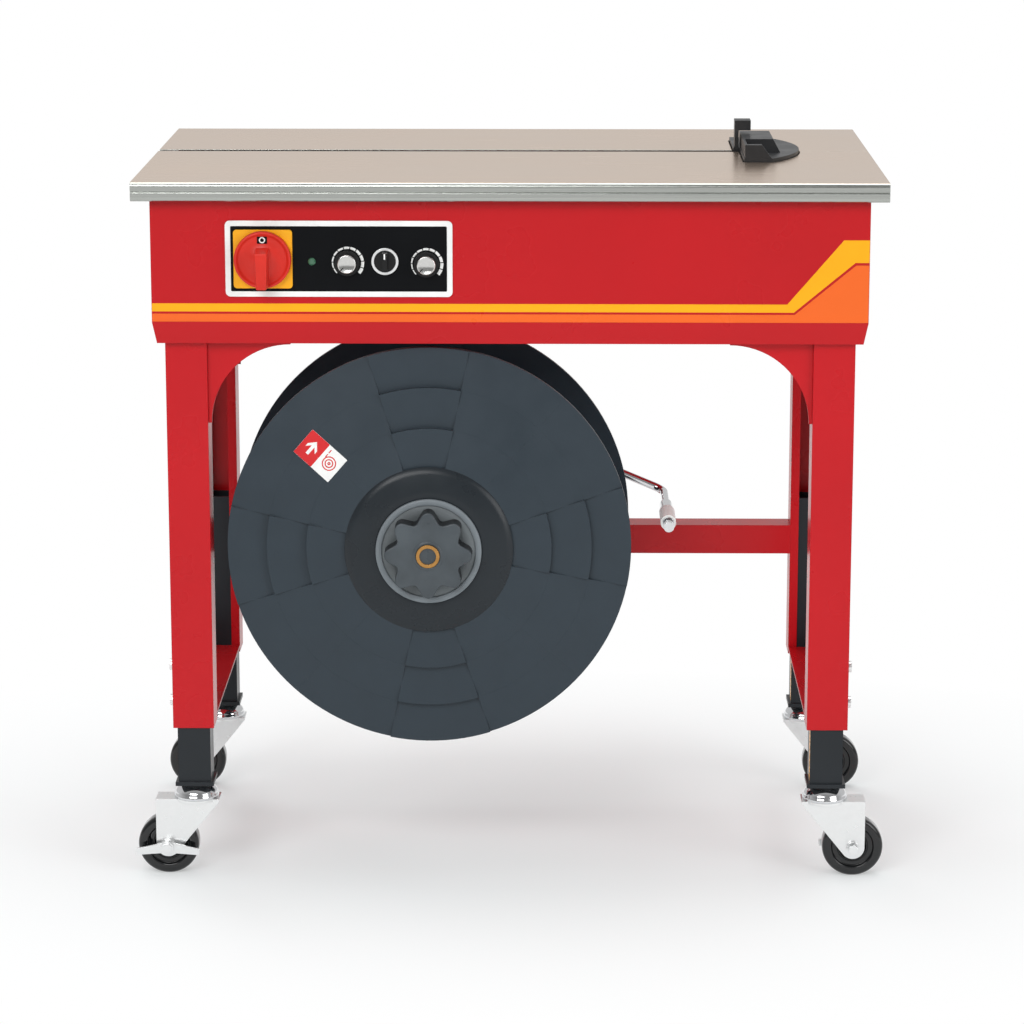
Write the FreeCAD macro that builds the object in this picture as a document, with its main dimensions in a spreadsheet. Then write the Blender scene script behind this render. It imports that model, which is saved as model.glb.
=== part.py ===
import FreeCAD, Part
import Sketcher
import math
import os

# Table-type strapping machine on castors, in millimetres.
# X runs to the right, Y away from the operator and Z up. The origin is the middle of
# the machine's outer box, on the floor.

os.makedirs("parts", exist_ok=True)
doc = FreeCAD.newDocument("StrappingMachine")
sheet = doc.addObject("Spreadsheet::Sheet", "Sizes")

SIZES = {
    # Table top and body
    "table_width": 895, "table_depth": 565, "table_height": 867, "table_sheet": 2,
    "skirt_height": 23, "nose_lip": 6, "nose_groove": 1, "nose_radius": 5,
    "slot_width": 16, "slot_notch": 27, "notch_room": 2, "slot_centre": 319, "plate_gap": 1, "overhang": 20,
    "side_overhang": 20.5, "wall": 1.5, "body_height": 173, "band_height": 26, "band_slant": 5,
    "seat_gap": 0.3, "floor_sheet": 2, "overrun": 5,
    "strap_hole_width": 50, "strap_hole_depth": 40,
    # Strap guide on the table
    "guide_left_from_right": 141, "guide_right_from_right": 67, "guide_radius": 189,
    "guide_half": 114, "guide_gap": 1.5, "guide_proud": 4.5, "guide_below": 22,
    "block_depth": 10, "block_height": 16.5, "block_inset": 1, "block_wall": 3,
    "block_top_right_from_right": 119.5, "block_right_from_right": 107,
    "rear_block_start": 64, "rear_block_depth": 91,
    "rear_block_top_right_from_right": 102, "rear_block_right_from_right": 93,
    "upright_left_from_right": 149, "upright_inset": 1.5, "upright_sheet": 5,
    "upright_depth": 25, "upright_height": 34, "upright_reach": 20, "upright_over": 5,
    # Hinges of the two table plates
    "hinge_reach": 8, "hinge_drop": 17, "hinge_inset": 90, "hinge_pin_radius": 3,
    "lug_thickness": 3, "lug_half": 5, "lug_gap": 0.3, "running_gap": 0.05, "pin_end": 1,
    # Legs and rails
    "leg_width": 50, "leg_depth": 45, "leg_sheet": 2.3, "leg_lip": 11, "leg_inset": 13.5,
    "front_leg_set_back": 15, "rear_leg_plane": 402, "leg_bottom": 190,
    "gusset_size": 100, "gusset_radius": 96, "gusset_sheet": 3, "gusset_set_back": 6,
    "rail_height": 30, "rail_sheet": 2.5, "rail_above_leg_end": 9,
    "bar_height": 38, "bar_below_reel": 93, "bar_depth": 40, "bar_sheet": 2.5,
    # Inner legs and their clamp bolts
    "tube_side": 40, "tube_wall": 2.5, "tube_top": 400, "foot_plate": 5, "foot_side": 47,
    "foot_top": 121, "boss_radius": 18, "boss_height": 3,
    "bolt_radius": 4, "bolt_head_radius": 7, "bolt_head_height": 5, "bolt_low": 30,
    "bolt_high": 75, "bolt_hole_gap": 0.3,
    # Castors
    "wheel_radius": 37.5, "wheel_width": 25, "wheel_recess": 4, "tread_thickness": 9,
    "wheel_hub_radius": 12, "wheel_fillet": 3, "axle_radius": 5, "axle_head_radius": 8,
    "axle_head": 4, "trail": 35, "cheek": 2.5, "cheek_gap": 1, "cheek_round": 14.5,
    "fork_plate": 3, "fork_inward": 29, "head_radius": 26.5, "head_height": 16,
    "head_edge": 6, "kingpin_radius": 6, "kingpin_head_radius": 10, "kingpin_head": 3,
    "lever_span": 79, "lever_hub_radius": 9, "lever_hub_height": 9, "lever_blade": 3,
    "lever_tip_height": 8, "lever_root_height": 14, "lever_droop": 6,
    # Strap reel
    "reel_leg_gap": 20.5, "reel_hang": 7, "flange_radius": 245, "flange_thickness": 6.5,
    "rim_front": 42, "cone_rise": 21, "nose_rise": 6, "hub_rise": 4, "rim_spacing": 193,
    "cone_radius": 101, "hub_ring_radius": 64, "hub_land_radius": 56, "hub_land": 1.5,
    "terrace_angle": 29, "terrace_turn": 3, "terrace_inner": 148.5, "terrace_outer": 197,
    "core_radius": 99, "core_wall": 3, "core_web": 4, "nut_thickness": 13,
    "star_tip": 53, "star_valley": 39, "star_lobe_radius": 8, "star_height": 24,
    "hub_boss_radius": 18, "hub_boss_height": 1.5, "bush_wall": 4, "bush_proud": 1,
    "shaft_radius": 10, "shaft_recess": 12,
    "post_side": 40, "post_wall": 3, "seat_side": 80, "seat_plate": 6, "seat_boss": 22,
    # Strap arm and its roller
    "arm_pivot_across": 107, "arm_pivot_above": 98, "arm_plane": 268, "arm_reach_less": 45.5,
    "arm_slope": 22.7, "arm_rod_radius": 5, "arm_bend": 14, "arm_end": 56,
    "arm_eye_radius": 11, "arm_eye_height": 12, "arm_pin_radius": 6, "arm_nut_radius": 6.5,
    "arm_nut_height": 10, "arm_pin_head_radius": 9, "arm_pin_head": 4,
    "roller_start": 80, "roller_length": 60, "roller_radius": 9.5,
    "sleeve_length": 40, "sleeve_radius": 8, "roller_end_gap": 0.3, "hanger_side": 20,
    # Control plate and controls
    "panel_from_left": 224, "panel_below_top": 93, "panel_width": 270, "panel_height": 91,
    "panel_plate": 2, "panel_corner": 6, "switch_from_left": 134, "switch_side": 70,
    "switch_plate": 3, "switch_disc_radius": 34, "switch_disc": 10, "handle_height": 32,
    "handle_width": 15.5, "handle_reach": 33, "handle_back": 9, "spindle_radius": 3,
    "spindle_length": 20, "hole_gap": 0.3, "lamp_from_left": 192, "lamp_below_top": 96,
    "lamp_radius": 4.5, "lamp_height": 3, "knob_skirt_radius": 15, "knob_skirt": 6,
    "knob_cap_radius": 11, "knob_cap": 8, "knob_edge": 1.5, "switch_corner": 4,
    "heat_knob_from_left": 234, "heat_knob_below_top": 97.5,
    "tension_knob_from_left": 328, "tension_knob_below_top": 99,
    "selector_from_left": 279, "selector_below_top": 95.3,
    "bezel_radius": 16, "bezel_height": 5, "bezel_wall": 3, "selector_grip": 10,
    "selector_grip_width": 6, "selector_disc": 6,
    # Mains inlet in the rear wall
    "inlet_from_right": 127, "inlet_below_top": 127, "inlet_radius": 9, "inlet_bore": 5,
    "inlet_length": 12, "inlet_collar": 3, "inlet_collar_radius": 13,
    # Sealing head and drive under the table
    "head_left_from_right": 317, "head_right_from_right": 62, "head_front": 232, "head_depth": 150,
    "head_wall": 8, "cam_from_right": 247, "cam_below_top": 102, "cam_shaft_radius": 9, "cam_radius": 24,
    "cam_offset": 6, "cam_width": 8, "cam_first": 20, "cam_pitch": 36,
    "pulley_width": 14, "pulley_gap": 6, "cam_pulley_radius": 40, "motor_pulley_radius": 22,
    "motor_from_right": 397, "motor_radius": 55, "motor_above_floor": 60, "motor_front": 225,
    "motor_length": 150, "motor_shaft_radius": 7, "motor_shaft_depth": 20,
    "motor_foot_width": 90, "motor_foot": 8, "belt_thickness": 3, "belt_gap": 0.3,
    "feed_from_right": 257, "feed_below_top": 147, "feed_radius": 25, "pinch_radius": 15,
    "strap_sheet": 0.7, "feed_shaft_radius": 8, "feed_plane": 110, "feed_width": 20, "feed_boss_radius": 13,
    "slide_left_from_right": 292, "slide_width": 60, "slide_front": 285, "slide_depth": 60,
    "slide_height": 15, "slide_below_frame": 4, "slide_rod_radius": 4,
    "slide_rod_inset": 12, "heater_from_right": 192, "heater_below_top": 77, "heater_width": 16,
    "heater_sheet": 6, "heater_height": 48, "heater_front": 300,
    "transformer_left_from_left": 47, "transformer_front": 300, "transformer_side": 70,
    "transformer_height": 60, "transformer_core": 20,
    "board_left_from_left": 167, "board_from_rear": 35, "board_width": 150, "board_depth": 100,
    "board_sheet": 1.6, "standoff_height": 12, "standoff_radius": 4, "standoff_inset": 8,
    "capacitor_radius": 15, "capacitor_height": 45,
}

for row, (alias, number) in enumerate(SIZES.items(), start=1):
    sheet.set(f"A{row}", alias)
    sheet.set(f"B{row}", str(number))
    sheet.setAlias(f"B{row}", alias)
doc.recompute()


class Size:
    """A length or an angle: its number, and the sheet formula that gives it."""

    def __init__(self, number, formula):
        self.number = float(number)
        self.formula = formula

    def __add__(self, other):
        other = sized(other)
        return Size(self.number + other.number, f"({self.formula} + {other.formula})")

    def __sub__(self, other):
        other = sized(other)
        return Size(self.number - other.number, f"({self.formula} - {other.formula})")

    def __mul__(self, other):
        other = sized(other)
        return Size(self.number * other.number, f"({self.formula} * {other.formula})")

    def __truediv__(self, other):
        other = sized(other)
        return Size(self.number / other.number, f"({self.formula} / {other.formula})")

    def __neg__(self):
        return Size(-self.number, f"(-1 * {self.formula})")

    def __radd__(self, other):
        return sized(other) + self

    def __rsub__(self, other):
        return sized(other) - self

    def __rmul__(self, other):
        return sized(other) * self


class Sizes:
    """The sheet's sizes, read by name."""

    def __getattr__(self, alias):
        return Size(getattr(sheet, alias), f"Sizes.{alias}")


def sized(value):
    return value if isinstance(value, Size) else Size(value, f"({float(value)!r})")


def root(value):
    return Size(math.sqrt(value.number), f"sqrt({value.formula})")


def bind(item, path, value):
    """Give a property its value from the sheet."""
    item.setExpression(path, sized(value).formula)


def place(item, x=0, y=0, z=0, turn=None):
    if turn is not None:
        item.Placement = FreeCAD.Placement(FreeCAD.Vector(), turn)
    for axis, value in zip("xyz", (x, y, z)):
        bind(item, f"Placement.Base.{axis}", value)
    return item


def span(first, second):
    """Two ends in rising order."""
    return sorted((first, second), key=lambda value: sized(value).number)


TURN_ABOUT = {
    "X": FreeCAD.Rotation(FreeCAD.Vector(0, 1, 0), 90),
    "Y": FreeCAD.Rotation(FreeCAD.Vector(1, 0, 0), -90),
    "Z": FreeCAD.Rotation(),
}
HALF_TURN = FreeCAD.Rotation(FreeCAD.Vector(0, 0, 1), 180)


def add(kind, label):
    item = doc.addObject(kind, label)
    item.Label = label
    return item


def box(label, x, y, z):
    """A block between the low and high ends given for each axis."""
    item = add("Part::Box", label)
    for side, (low, high) in zip(("Length", "Width", "Height"), (x, y, z)):
        bind(item, side, sized(high) - low)
    return place(item, x[0], y[0], z[0])


def rod(label, axis, start, radius, length):
    """A round bar that runs along an axis from the middle of its first end."""
    item = add("Part::Cylinder", label)
    bind(item, "Radius", radius)
    bind(item, "Height", length)
    return place(item, *start, turn=TURN_ABOUT[axis])


def joined(label, *shapes):
    item = add("Part::MultiFuse", label)
    item.Shapes = list(shapes)
    item.Refine = True
    return item


def cut(label, base, *tools):
    item = add("Part::Cut", label)
    item.Base = base
    item.Tool = tools[0] if len(tools) == 1 else joined(label + "_cutters", *tools)
    item.Refine = True
    return item


def common(label, first, second):
    item = add("Part::Common", label)
    item.Base = first
    item.Tool = second
    item.Refine = True
    return item


def group(label, *shapes):
    """Separate solids that share one node."""
    item = add("Part::Compound", label)
    item.Links = list(shapes)
    return item


def draw(body, plane, points, offset):
    """A closed outline on one of the body's own planes, fixed to the sheet's sizes.

    A point is (x, y), or (x, y, radius, side) where an arc that bows to the left or
    the right leads to the next point."""
    sketch = body.newObject("Sketcher::SketchObject", body.Name + "_outline")
    support = [item for item in body.Origin.OriginFeatures if item.Role == plane + "_Plane"]
    sketch.AttachmentSupport = [(support[0], "")]
    sketch.MapMode = "FlatFace"
    for axis, value in zip("xyz", offset):
        bind(sketch, f"AttachmentOffset.Base.{axis}", value)
    spots = [FreeCAD.Vector(sized(p[0]).number, sized(p[1]).number, 0) for p in points]
    starts, ends = [], []
    for index, point in enumerate(points):
        here, there = spots[index], spots[(index + 1) % len(spots)]
        starts.append(1)
        ends.append(2)
        if len(point) == 2:
            sketch.addGeometry(Part.LineSegment(here, there))
            continue
        side = {"left": 1, "right": -1}[point[3]]
        chord = there - here
        radius = sized(point[2]).number
        rise = radius - math.sqrt(radius ** 2 - (chord.Length / 2) ** 2)
        normal = FreeCAD.Vector(-chord.y, chord.x, 0).normalize() * side
        sketch.addGeometry(Part.Arc(here, (here + there) / 2 + normal * rise, there))
        if side == 1:
            starts[-1], ends[-1] = 2, 1
    for index, point in enumerate(points):
        after = (index + 1) % len(points)
        sketch.addConstraint(
            Sketcher.Constraint("Coincident", index, ends[index], after, starts[after]))
        for kind, value in zip(("DistanceX", "DistanceY"), point):
            number = sketch.addConstraint(
                Sketcher.Constraint(kind, -1, 1, index, starts[index], sized(value).number))
            bind(sketch, f"Constraints[{number}]", value)
        if len(point) > 2:
            number = sketch.addConstraint(
                Sketcher.Constraint("Radius", index, sized(point[2]).number))
            bind(sketch, f"Constraints[{number}]", point[2])
    return sketch


def prism(label, plane, points, start, length):
    """An outline padded along its plane's axis: XY along +Z, XZ along +Y, YZ along +X."""
    body = add("PartDesign::Body", label)
    away = plane == "XZ"
    sketch = draw(body, plane, points, (0, 0, -sized(start) if away else start))
    pad = body.newObject("PartDesign::Pad", label + "_pad")
    pad.Profile = sketch
    pad.Reversed = away
    bind(pad, "Length", length)
    body.Tip = pad
    return body


def turned(label, axis, centre, points):
    """A profile of (along, radius) points turned about an axis through the centre."""
    body = add("PartDesign::Body", label)
    x, y, z = centre
    plane, offset, line = {
        "X": ("XY", (x, y, z), "H_Axis"),
        "Y": ("YZ", (y, z, x), "H_Axis"),
        "Z": ("XZ", (x, z, -sized(y)), "V_Axis"),
    }[axis]
    if axis == "Z":
        points = [(p[1], p[0], *p[2:]) for p in points]
    sketch = draw(body, plane, points, offset)
    turn = body.newObject("PartDesign::Revolution", label + "_turn")
    turn.Profile = sketch
    turn.ReferenceAxis = (sketch, [line])
    body.Tip = turn
    return body


def rounded_plate(label, x, z, width, height, radius, y, thickness):
    """An upright plate with round corners, centred on (x, z), from y towards +Y."""
    left, right = x - width / 2, x + width / 2
    low, high = z - height / 2, z + height / 2
    points = [
        (left + radius, low), (right - radius, low, radius, "right"),
        (right, low + radius), (right, high - radius, radius, "right"),
        (right - radius, high), (left + radius, high, radius, "right"),
        (left, high - radius), (left, low + radius, radius, "right"),
    ]
    return prism(label, "XZ", points, y, thickness)


S = Sizes()

# Main planes and edges that several pieces share
handle_front = S.overhang - S.panel_plate - S.switch_plate - S.handle_height
front = -(S.table_depth + handle_front) / 2
rear = front + S.table_depth
half_width = S.table_width / 2
slot_y = front + S.slot_centre
table_top = S.table_height
table_under = table_top - S.table_sheet
skirt_bottom = table_top - S.skirt_height
side_wall = half_width - S.side_overhang
front_wall = front + S.overhang
rear_wall = rear - S.overhang
wall_top = table_under - S.seat_gap
band_top = skirt_bottom - S.body_height + S.band_height
body_bottom = band_top - S.band_height

# Places that keep to the side walls, the table top and the reel
guide_left = side_wall - S.guide_left_from_right
guide_right = side_wall - S.guide_right_from_right
block_top_right = side_wall - S.block_top_right_from_right
block_right = side_wall - S.block_right_from_right
rear_block_top_right = side_wall - S.rear_block_top_right_from_right
rear_block_right = side_wall - S.rear_block_right_from_right
upright_left = side_wall - S.upright_left_from_right
head_left = side_wall - S.head_left_from_right
head_right = side_wall - S.head_right_from_right
cam_x = side_wall - S.cam_from_right
motor_x = side_wall - S.motor_from_right
feed_x = side_wall - S.feed_from_right
slide_left = side_wall - S.slide_left_from_right
heater_x = side_wall - S.heater_from_right
inlet_x = side_wall - S.inlet_from_right
transformer_left = S.transformer_left_from_left - side_wall
board_left = S.board_left_from_left - side_wall
panel_x = S.panel_from_left - side_wall
switch_x = S.switch_from_left - side_wall
lamp_x = S.lamp_from_left - side_wall
heat_knob_x = S.heat_knob_from_left - side_wall
tension_knob_x = S.tension_knob_from_left - side_wall
selector_x = S.selector_from_left - side_wall
cam_z = table_top - S.cam_below_top
feed_z = table_top - S.feed_below_top
heater_z = table_top - S.heater_below_top
panel_z = table_top - S.panel_below_top
lamp_z = table_top - S.lamp_below_top
heat_knob_z = table_top - S.heat_knob_below_top
tension_knob_z = table_top - S.tension_knob_below_top
selector_z = table_top - S.selector_below_top
inlet_z = table_top - S.inlet_below_top
reel_x = S.leg_inset + S.leg_width + S.reel_leg_gap + S.flange_radius - side_wall
reel_z = body_bottom - S.reel_hang - S.flange_radius
arm_pivot_x = reel_x + S.arm_pivot_across
arm_pivot_z = reel_z + S.arm_pivot_above
arm_reach = S.flange_radius - S.arm_reach_less


def guide_outline(clearance):
    """The strap guide's outline seen from above: straight in front and behind, round on
    the right, and with a step on the left for the upright."""
    radius = S.guide_radius + clearance
    half = S.guide_half + clearance
    reach = guide_right - S.guide_radius + root(radius * radius - half * half)
    left, back_left = guide_left - clearance, upright_left - clearance
    return [
        (left, slot_y - half), (reach, slot_y - half, radius, "right"),
        (reach, slot_y + half), (back_left, slot_y + half), (back_left, slot_y),
        (left, slot_y),
    ]


def hinge_axis_y(side):
    wall = front_wall if side == 1 else rear_wall
    return wall - side * S.hinge_reach


hinge_z = table_top - S.hinge_drop


def table_plate(label, side):
    """A folded steel tray with a rolled edge: side 1 is the front one, -1 the rear."""
    edge = front if side == 1 else rear
    inside, outside = ("right", "left") if side == 1 else ("left", "right")
    end = slot_y - side * S.plate_gap / 2
    radius, sheet_metal, groove = S.nose_radius, S.table_sheet, S.nose_groove
    middle = (table_top + skirt_bottom) / 2
    profile = [
        (end, table_top), (end, table_under),
        (edge + side * radius, table_under, radius - sheet_metal, inside),
        (edge + side * sheet_metal, table_top - radius),
        (edge + side * sheet_metal, skirt_bottom + radius, radius - sheet_metal, inside),
        (edge + side * radius, skirt_bottom + sheet_metal),
        (edge + side * S.nose_lip, skirt_bottom + sheet_metal),
        (edge + side * S.nose_lip, skirt_bottom),
        (edge + side * radius, skirt_bottom, radius, outside),
        (edge, skirt_bottom + radius), (edge, middle - groove),
        (edge + side * groove, middle), (edge, middle + groove),
        (edge, table_top - radius, radius, outside),
        (edge + side * radius, table_top),
    ]
    folded = prism(label + "_sheet", "YZ", profile, -half_width, S.table_width)
    parts = [folded]
    for hand in (-1, 1):
        outer = hand * half_width
        inner = outer - hand * sheet_metal
        parts.append(box(f"{label}_skirt_{hand}", span(outer, inner),
                         span(edge + side * radius, end),
                         (skirt_bottom, table_under + sheet_metal / 2)))
    axis_y = hinge_axis_y(side)
    for hand in (-1, 1):
        for flank in (-1, 1):
            start = hand * (half_width - S.hinge_inset)
            start = start + flank * (S.lug_thickness / 2 + S.lug_gap)
            stop = start + flank * S.lug_thickness
            parts.append(box(f"{label}_lug_{hand}_{flank}", span(start, stop),
                             (axis_y - S.lug_half, axis_y + S.lug_half),
                             (hinge_z - S.lug_half, table_under + sheet_metal / 2)))
    tray = joined(label + "_tray", *parts)
    slot = box(label + "_slot", (-half_width - S.overrun, guide_left - S.guide_gap),
               (slot_y - S.slot_width / 2, slot_y + S.slot_width / 2),
               (skirt_bottom - S.overrun, table_top + S.overrun))
    opening = prism(label + "_opening", "XY", guide_outline(S.guide_gap),
                    skirt_bottom - S.overrun, S.skirt_height + 2 * S.overrun)
    bore = rod(label + "_bore", "X", (-half_width + sheet_metal + S.overrun, axis_y, hinge_z),
               S.hinge_pin_radius + S.running_gap,
               S.table_width - 2 * (sheet_metal + S.overrun))
    return cut(label, tray, slot, opening, bore)


def hinges():
    """An ear on the wall at each hinge, with the pin that the table plate turns on."""
    ears = []
    for side in (1, -1):
        wall = front_wall if side == 1 else rear_wall
        axis_y = hinge_axis_y(side)
        tip = axis_y - side * S.lug_half
        for hand in (-1, 1):
            x = hand * (half_width - S.hinge_inset)
            name = f"hinge_{side}_{hand}"
            ear = box(name + "_ear", (x - S.lug_thickness / 2, x + S.lug_thickness / 2),
                      span(tip, wall), (hinge_z - S.lug_half, hinge_z + S.lug_half))
            reach = S.lug_thickness * 1.5 + S.lug_gap + S.pin_end
            pin = rod(name + "_pin", "X", (x - reach, axis_y, hinge_z),
                      S.hinge_pin_radius, 2 * reach)
            ears.append(joined(name, ear, pin))
    return group("table_hinges", *ears)


panel_front = front_wall - S.panel_plate
controls = {
    "switch": (switch_x, panel_z), "lamp": (lamp_x, lamp_z),
    "heat": (heat_knob_x, heat_knob_z), "selector": (selector_x, selector_z),
    "tension": (tension_knob_x, tension_knob_z),
}


def control_holes(name, start, depth):
    """The spindles' holes through the control plate and the panel behind it."""
    radius = S.spindle_radius + S.hole_gap
    return [rod(f"{name}_{key}", "Y", (x, start - S.overrun, z), radius,
                depth + 2 * S.overrun) for key, (x, z) in controls.items()]


def body_solid(label, inset=0, beyond=0):
    """The body's box with its tapered lower band, drawn inward by an inset."""
    def outline(low, high):
        low, high = low + inset, high - inset
        foot = [(low + S.band_slant, body_bottom), (high - S.band_slant, body_bottom)]
        if inset:
            foot = [foot[0], *((x, z - beyond) for x, z in foot), foot[1]]
        return [(low, wall_top + beyond), (low, band_top), *foot,
                (high, band_top), (high, wall_top + beyond)]

    across = prism(label + "_across", "XZ", outline(-side_wall, side_wall),
                   front_wall, rear_wall - front_wall)
    along = prism(label + "_along", "YZ", outline(front_wall, rear_wall),
                  -side_wall, 2 * side_wall)
    return common(label, across, along)


def wall_cutter(name, side):
    """Everything in front of the front wall's inner face, or behind the rear wall's."""
    wall = front_wall if side == 1 else rear_wall
    face = wall + side * S.wall
    beyond = wall - side * S.overrun
    outline = [
        (beyond, wall_top + S.overrun), (face, wall_top + S.overrun), (face, band_top),
        (face + side * S.band_slant, body_bottom),
        (face + side * S.band_slant, body_bottom - S.overrun),
        (beyond, body_bottom - S.overrun),
    ]
    return prism(name, "YZ", outline, -side_wall - S.overrun, 2 * (side_wall + S.overrun))


def body_panels():
    shell = cut("body_shell", body_solid("body_outside"),
                body_solid("body_inside", S.wall, S.overrun))
    front_cutter = wall_cutter("front_cutter", 1)
    rear_cutter = wall_cutter("rear_cutter", -1)
    front_skin = common("front_skin", shell, front_cutter)
    front_panel = cut("front_panel", front_skin,
                      *control_holes("panel_hole", front_wall, S.wall))
    rear_skin = common("rear_skin", shell, rear_cutter)
    inlet_hole = rod("inlet_hole", "Y", (inlet_x, rear_wall - S.wall - S.overrun, inlet_z),
                     S.inlet_radius, S.wall + 2 * S.overrun)
    rear_sheet = cut("rear_sheet", rear_skin, inlet_hole)
    inlet = turned("mains_inlet", "Y", (inlet_x, rear_wall, inlet_z), [
        (-S.wall, S.inlet_bore), (S.inlet_length, S.inlet_bore),
        (S.inlet_length, S.inlet_radius), (S.inlet_collar, S.inlet_radius),
        (S.inlet_collar, S.inlet_collar_radius), (0, S.inlet_collar_radius),
        (0, S.inlet_radius), (-S.wall, S.inlet_radius),
    ])
    rear_panel = group("rear_panel", rear_sheet, inlet)
    middle = cut("side_skins", shell, front_cutter, rear_cutter)
    sides = []
    for name, hand in (("side_panel_left", -1), ("side_panel_right", 1)):
        half = box(name + "_half", span(0, hand * (half_width + S.overrun)),
                   (front, rear), (body_bottom - S.overrun, table_top))
        if hand == -1:
            # The strap slot runs out through the left wall
            notch = box("slot_notch", (-half_width, S.overrun - side_wall),
                        (slot_y - S.slot_width / 2 - S.notch_room,
                         slot_y + S.slot_width / 2 + S.notch_room),
                        (wall_top - S.slot_notch, table_top))
            sides.append(cut(name, common(name + "_whole", middle, half), notch))
        else:
            sides.append(common(name, middle, half))
    return [front_panel, rear_panel, *sides]


def floor_pan():
    inset = S.band_slant + S.wall + S.seat_gap
    sheet_metal = box("floor_sheet_plate", (-side_wall + inset, side_wall - inset),
                      (front_wall + inset, rear_wall - inset),
                      (body_bottom, body_bottom + S.floor_sheet))
    hole_y = front + S.feed_plane
    hole_x = feed_x + S.feed_radius
    hole = box("strap_hole",
               (hole_x - S.strap_hole_width / 2, hole_x + S.strap_hole_width / 2),
               (hole_y - S.strap_hole_depth / 2, hole_y + S.strap_hole_depth / 2),
               (body_bottom - S.overrun, body_bottom + S.floor_sheet + S.overrun))
    return cut("floor_pan", sheet_metal, hole)


leg_x = side_wall - S.leg_inset - S.leg_width / 2
front_leg_y = front_wall + S.front_leg_set_back
rear_leg_y = front + S.rear_leg_plane
corners = {
    "front_left": (-1, 1), "front_right": (1, 1), "rear_left": (-1, -1), "rear_right": (1, -1),
}


def leg_middle_y(end):
    start = front_leg_y if end == 1 else rear_leg_y
    return start + S.leg_depth / 2


def leg(label, hand, end):
    """A folded channel with its web outward at the front or the rear of the machine."""
    half, sheet_metal, depth = S.leg_width / 2, S.leg_sheet, S.leg_depth
    near = leg_middle_y(end) - end * depth / 2
    far = near + end * depth
    lip = half - S.leg_lip
    wall = half - sheet_metal
    outline = [
        (half, near), (half, far), (lip, far), (lip, far - end * sheet_metal),
        (wall, far - end * sheet_metal), (wall, near + end * sheet_metal),
    ]
    right = [(leg_x * hand + x, y) for x, y in outline]
    left = [(leg_x * hand - x, y) for x, y in reversed(outline)]
    channel = prism(label + "_channel", "XY", right + left, S.leg_bottom,
                    body_bottom - S.leg_bottom)
    holes = [rod(f"{label}_hole_{name}", "X",
                 (hand * (leg_x + half - sheet_metal / 2) - S.overrun / 2,
                  leg_middle_y(end), S.leg_bottom + height),
                 S.bolt_radius + S.bolt_hole_gap, S.overrun)
             for name, height in (("low", S.bolt_low), ("high", S.bolt_high))]
    return cut(label, channel, *holes)


def leg_bolts():
    """Two clamp bolts in the outer side of each leg, which press on the inner leg."""
    bolts = []
    for corner, (hand, end) in corners.items():
        face = hand * (leg_x + S.leg_width / 2)
        tip = hand * (leg_x + S.tube_side / 2 + S.seat_gap)
        head = face + hand * S.bolt_head_height
        for name, height in (("low", S.bolt_low), ("high", S.bolt_high)):
            label = f"bolt_{corner}_{name}"
            y, z = leg_middle_y(end), S.leg_bottom + height
            low, high = span(tip, head)
            shank = rod(label + "_shank", "X", (low, y, z), S.bolt_radius, high - low)
            low, high = span(face, head)
            cap = rod(label + "_head", "X", (low, y, z), S.bolt_head_radius, high - low)
            bolts.append(joined(label, shank, cap))
    return group("leg_bolts", *bolts)


def inner_leg(label, hand, end):
    """A square tube that slides in the leg, with the foot plate of its castor."""
    x, y = hand * leg_x, leg_middle_y(end)
    half, hollow = S.tube_side / 2, S.tube_side / 2 - S.tube_wall
    plate_bottom = S.foot_top - S.foot_plate
    outside = box(label + "_outside", (x - half, x + half), (y - half, y + half),
                  (S.foot_top, S.tube_top))
    inside = box(label + "_inside", (x - hollow, x + hollow), (y - hollow, y + hollow),
                 (S.foot_top, S.tube_top + S.overrun))
    tube = cut(label + "_tube", outside, inside)
    side = S.foot_side / 2
    plate = box(label + "_plate", (x - side, x + side), (y - side, y + side),
                (plate_bottom, S.foot_top))
    boss = rod(label + "_boss", "Z", (x, y, plate_bottom - S.boss_height),
               S.boss_radius, S.boss_height)
    pin_bottom = fork_plate_bottom - S.seat_gap
    pin = rod(label + "_kingpin", "Z", (x, y, pin_bottom), S.kingpin_radius,
              plate_bottom - S.boss_height - pin_bottom)
    rivet = rod(label + "_rivet", "Z", (x, y, pin_bottom - S.kingpin_head),
                S.kingpin_head_radius, S.kingpin_head)
    return joined(label, tube, plate, boss, pin, rivet)


def gussets():
    """A quarter-round web in each upper corner between the body and a leg."""
    size, radius = S.gusset_size, S.gusset_radius
    foot = size - radius
    webs = []
    for corner, (hand, end) in corners.items():
        x = hand * (leg_x - S.leg_width / 2)
        outline = [
            (x, body_bottom), (x, body_bottom - size),
            (x - hand * foot, body_bottom - size, radius, "left" if hand == -1 else "right"),
            (x - hand * size, body_bottom - foot), (x - hand * size, body_bottom),
        ]
        outer = leg_middle_y(end) - end * (S.leg_depth / 2 - S.gusset_set_back)
        low, high = span(outer, outer + end * S.gusset_sheet)
        webs.append(prism("gusset_" + corner, "XZ", outline, low, high - low))
    return group("leg_gussets", *webs)


def side_rails():
    """An angle on each side, from the front leg to the rear leg."""
    start = front_leg_y + S.leg_depth
    rails = []
    for hand in (-1, 1):
        outer = hand * (leg_x + S.leg_width / 2)
        inner = outer - hand * S.leg_width
        top = S.leg_bottom + S.rail_above_leg_end
        under = top - S.rail_sheet
        outline = [
            (inner, top), (inner, under), (outer, under), (outer, under + S.rail_height),
            (outer - hand * S.rail_sheet, under + S.rail_height),
            (outer - hand * S.rail_sheet, top),
        ]
        rails.append(prism(f"side_rail_{hand}", "XZ", outline, start, rear_leg_y - start))
    return group("side_rails", *rails)


bar_bottom = reel_z - S.bar_below_reel


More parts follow.
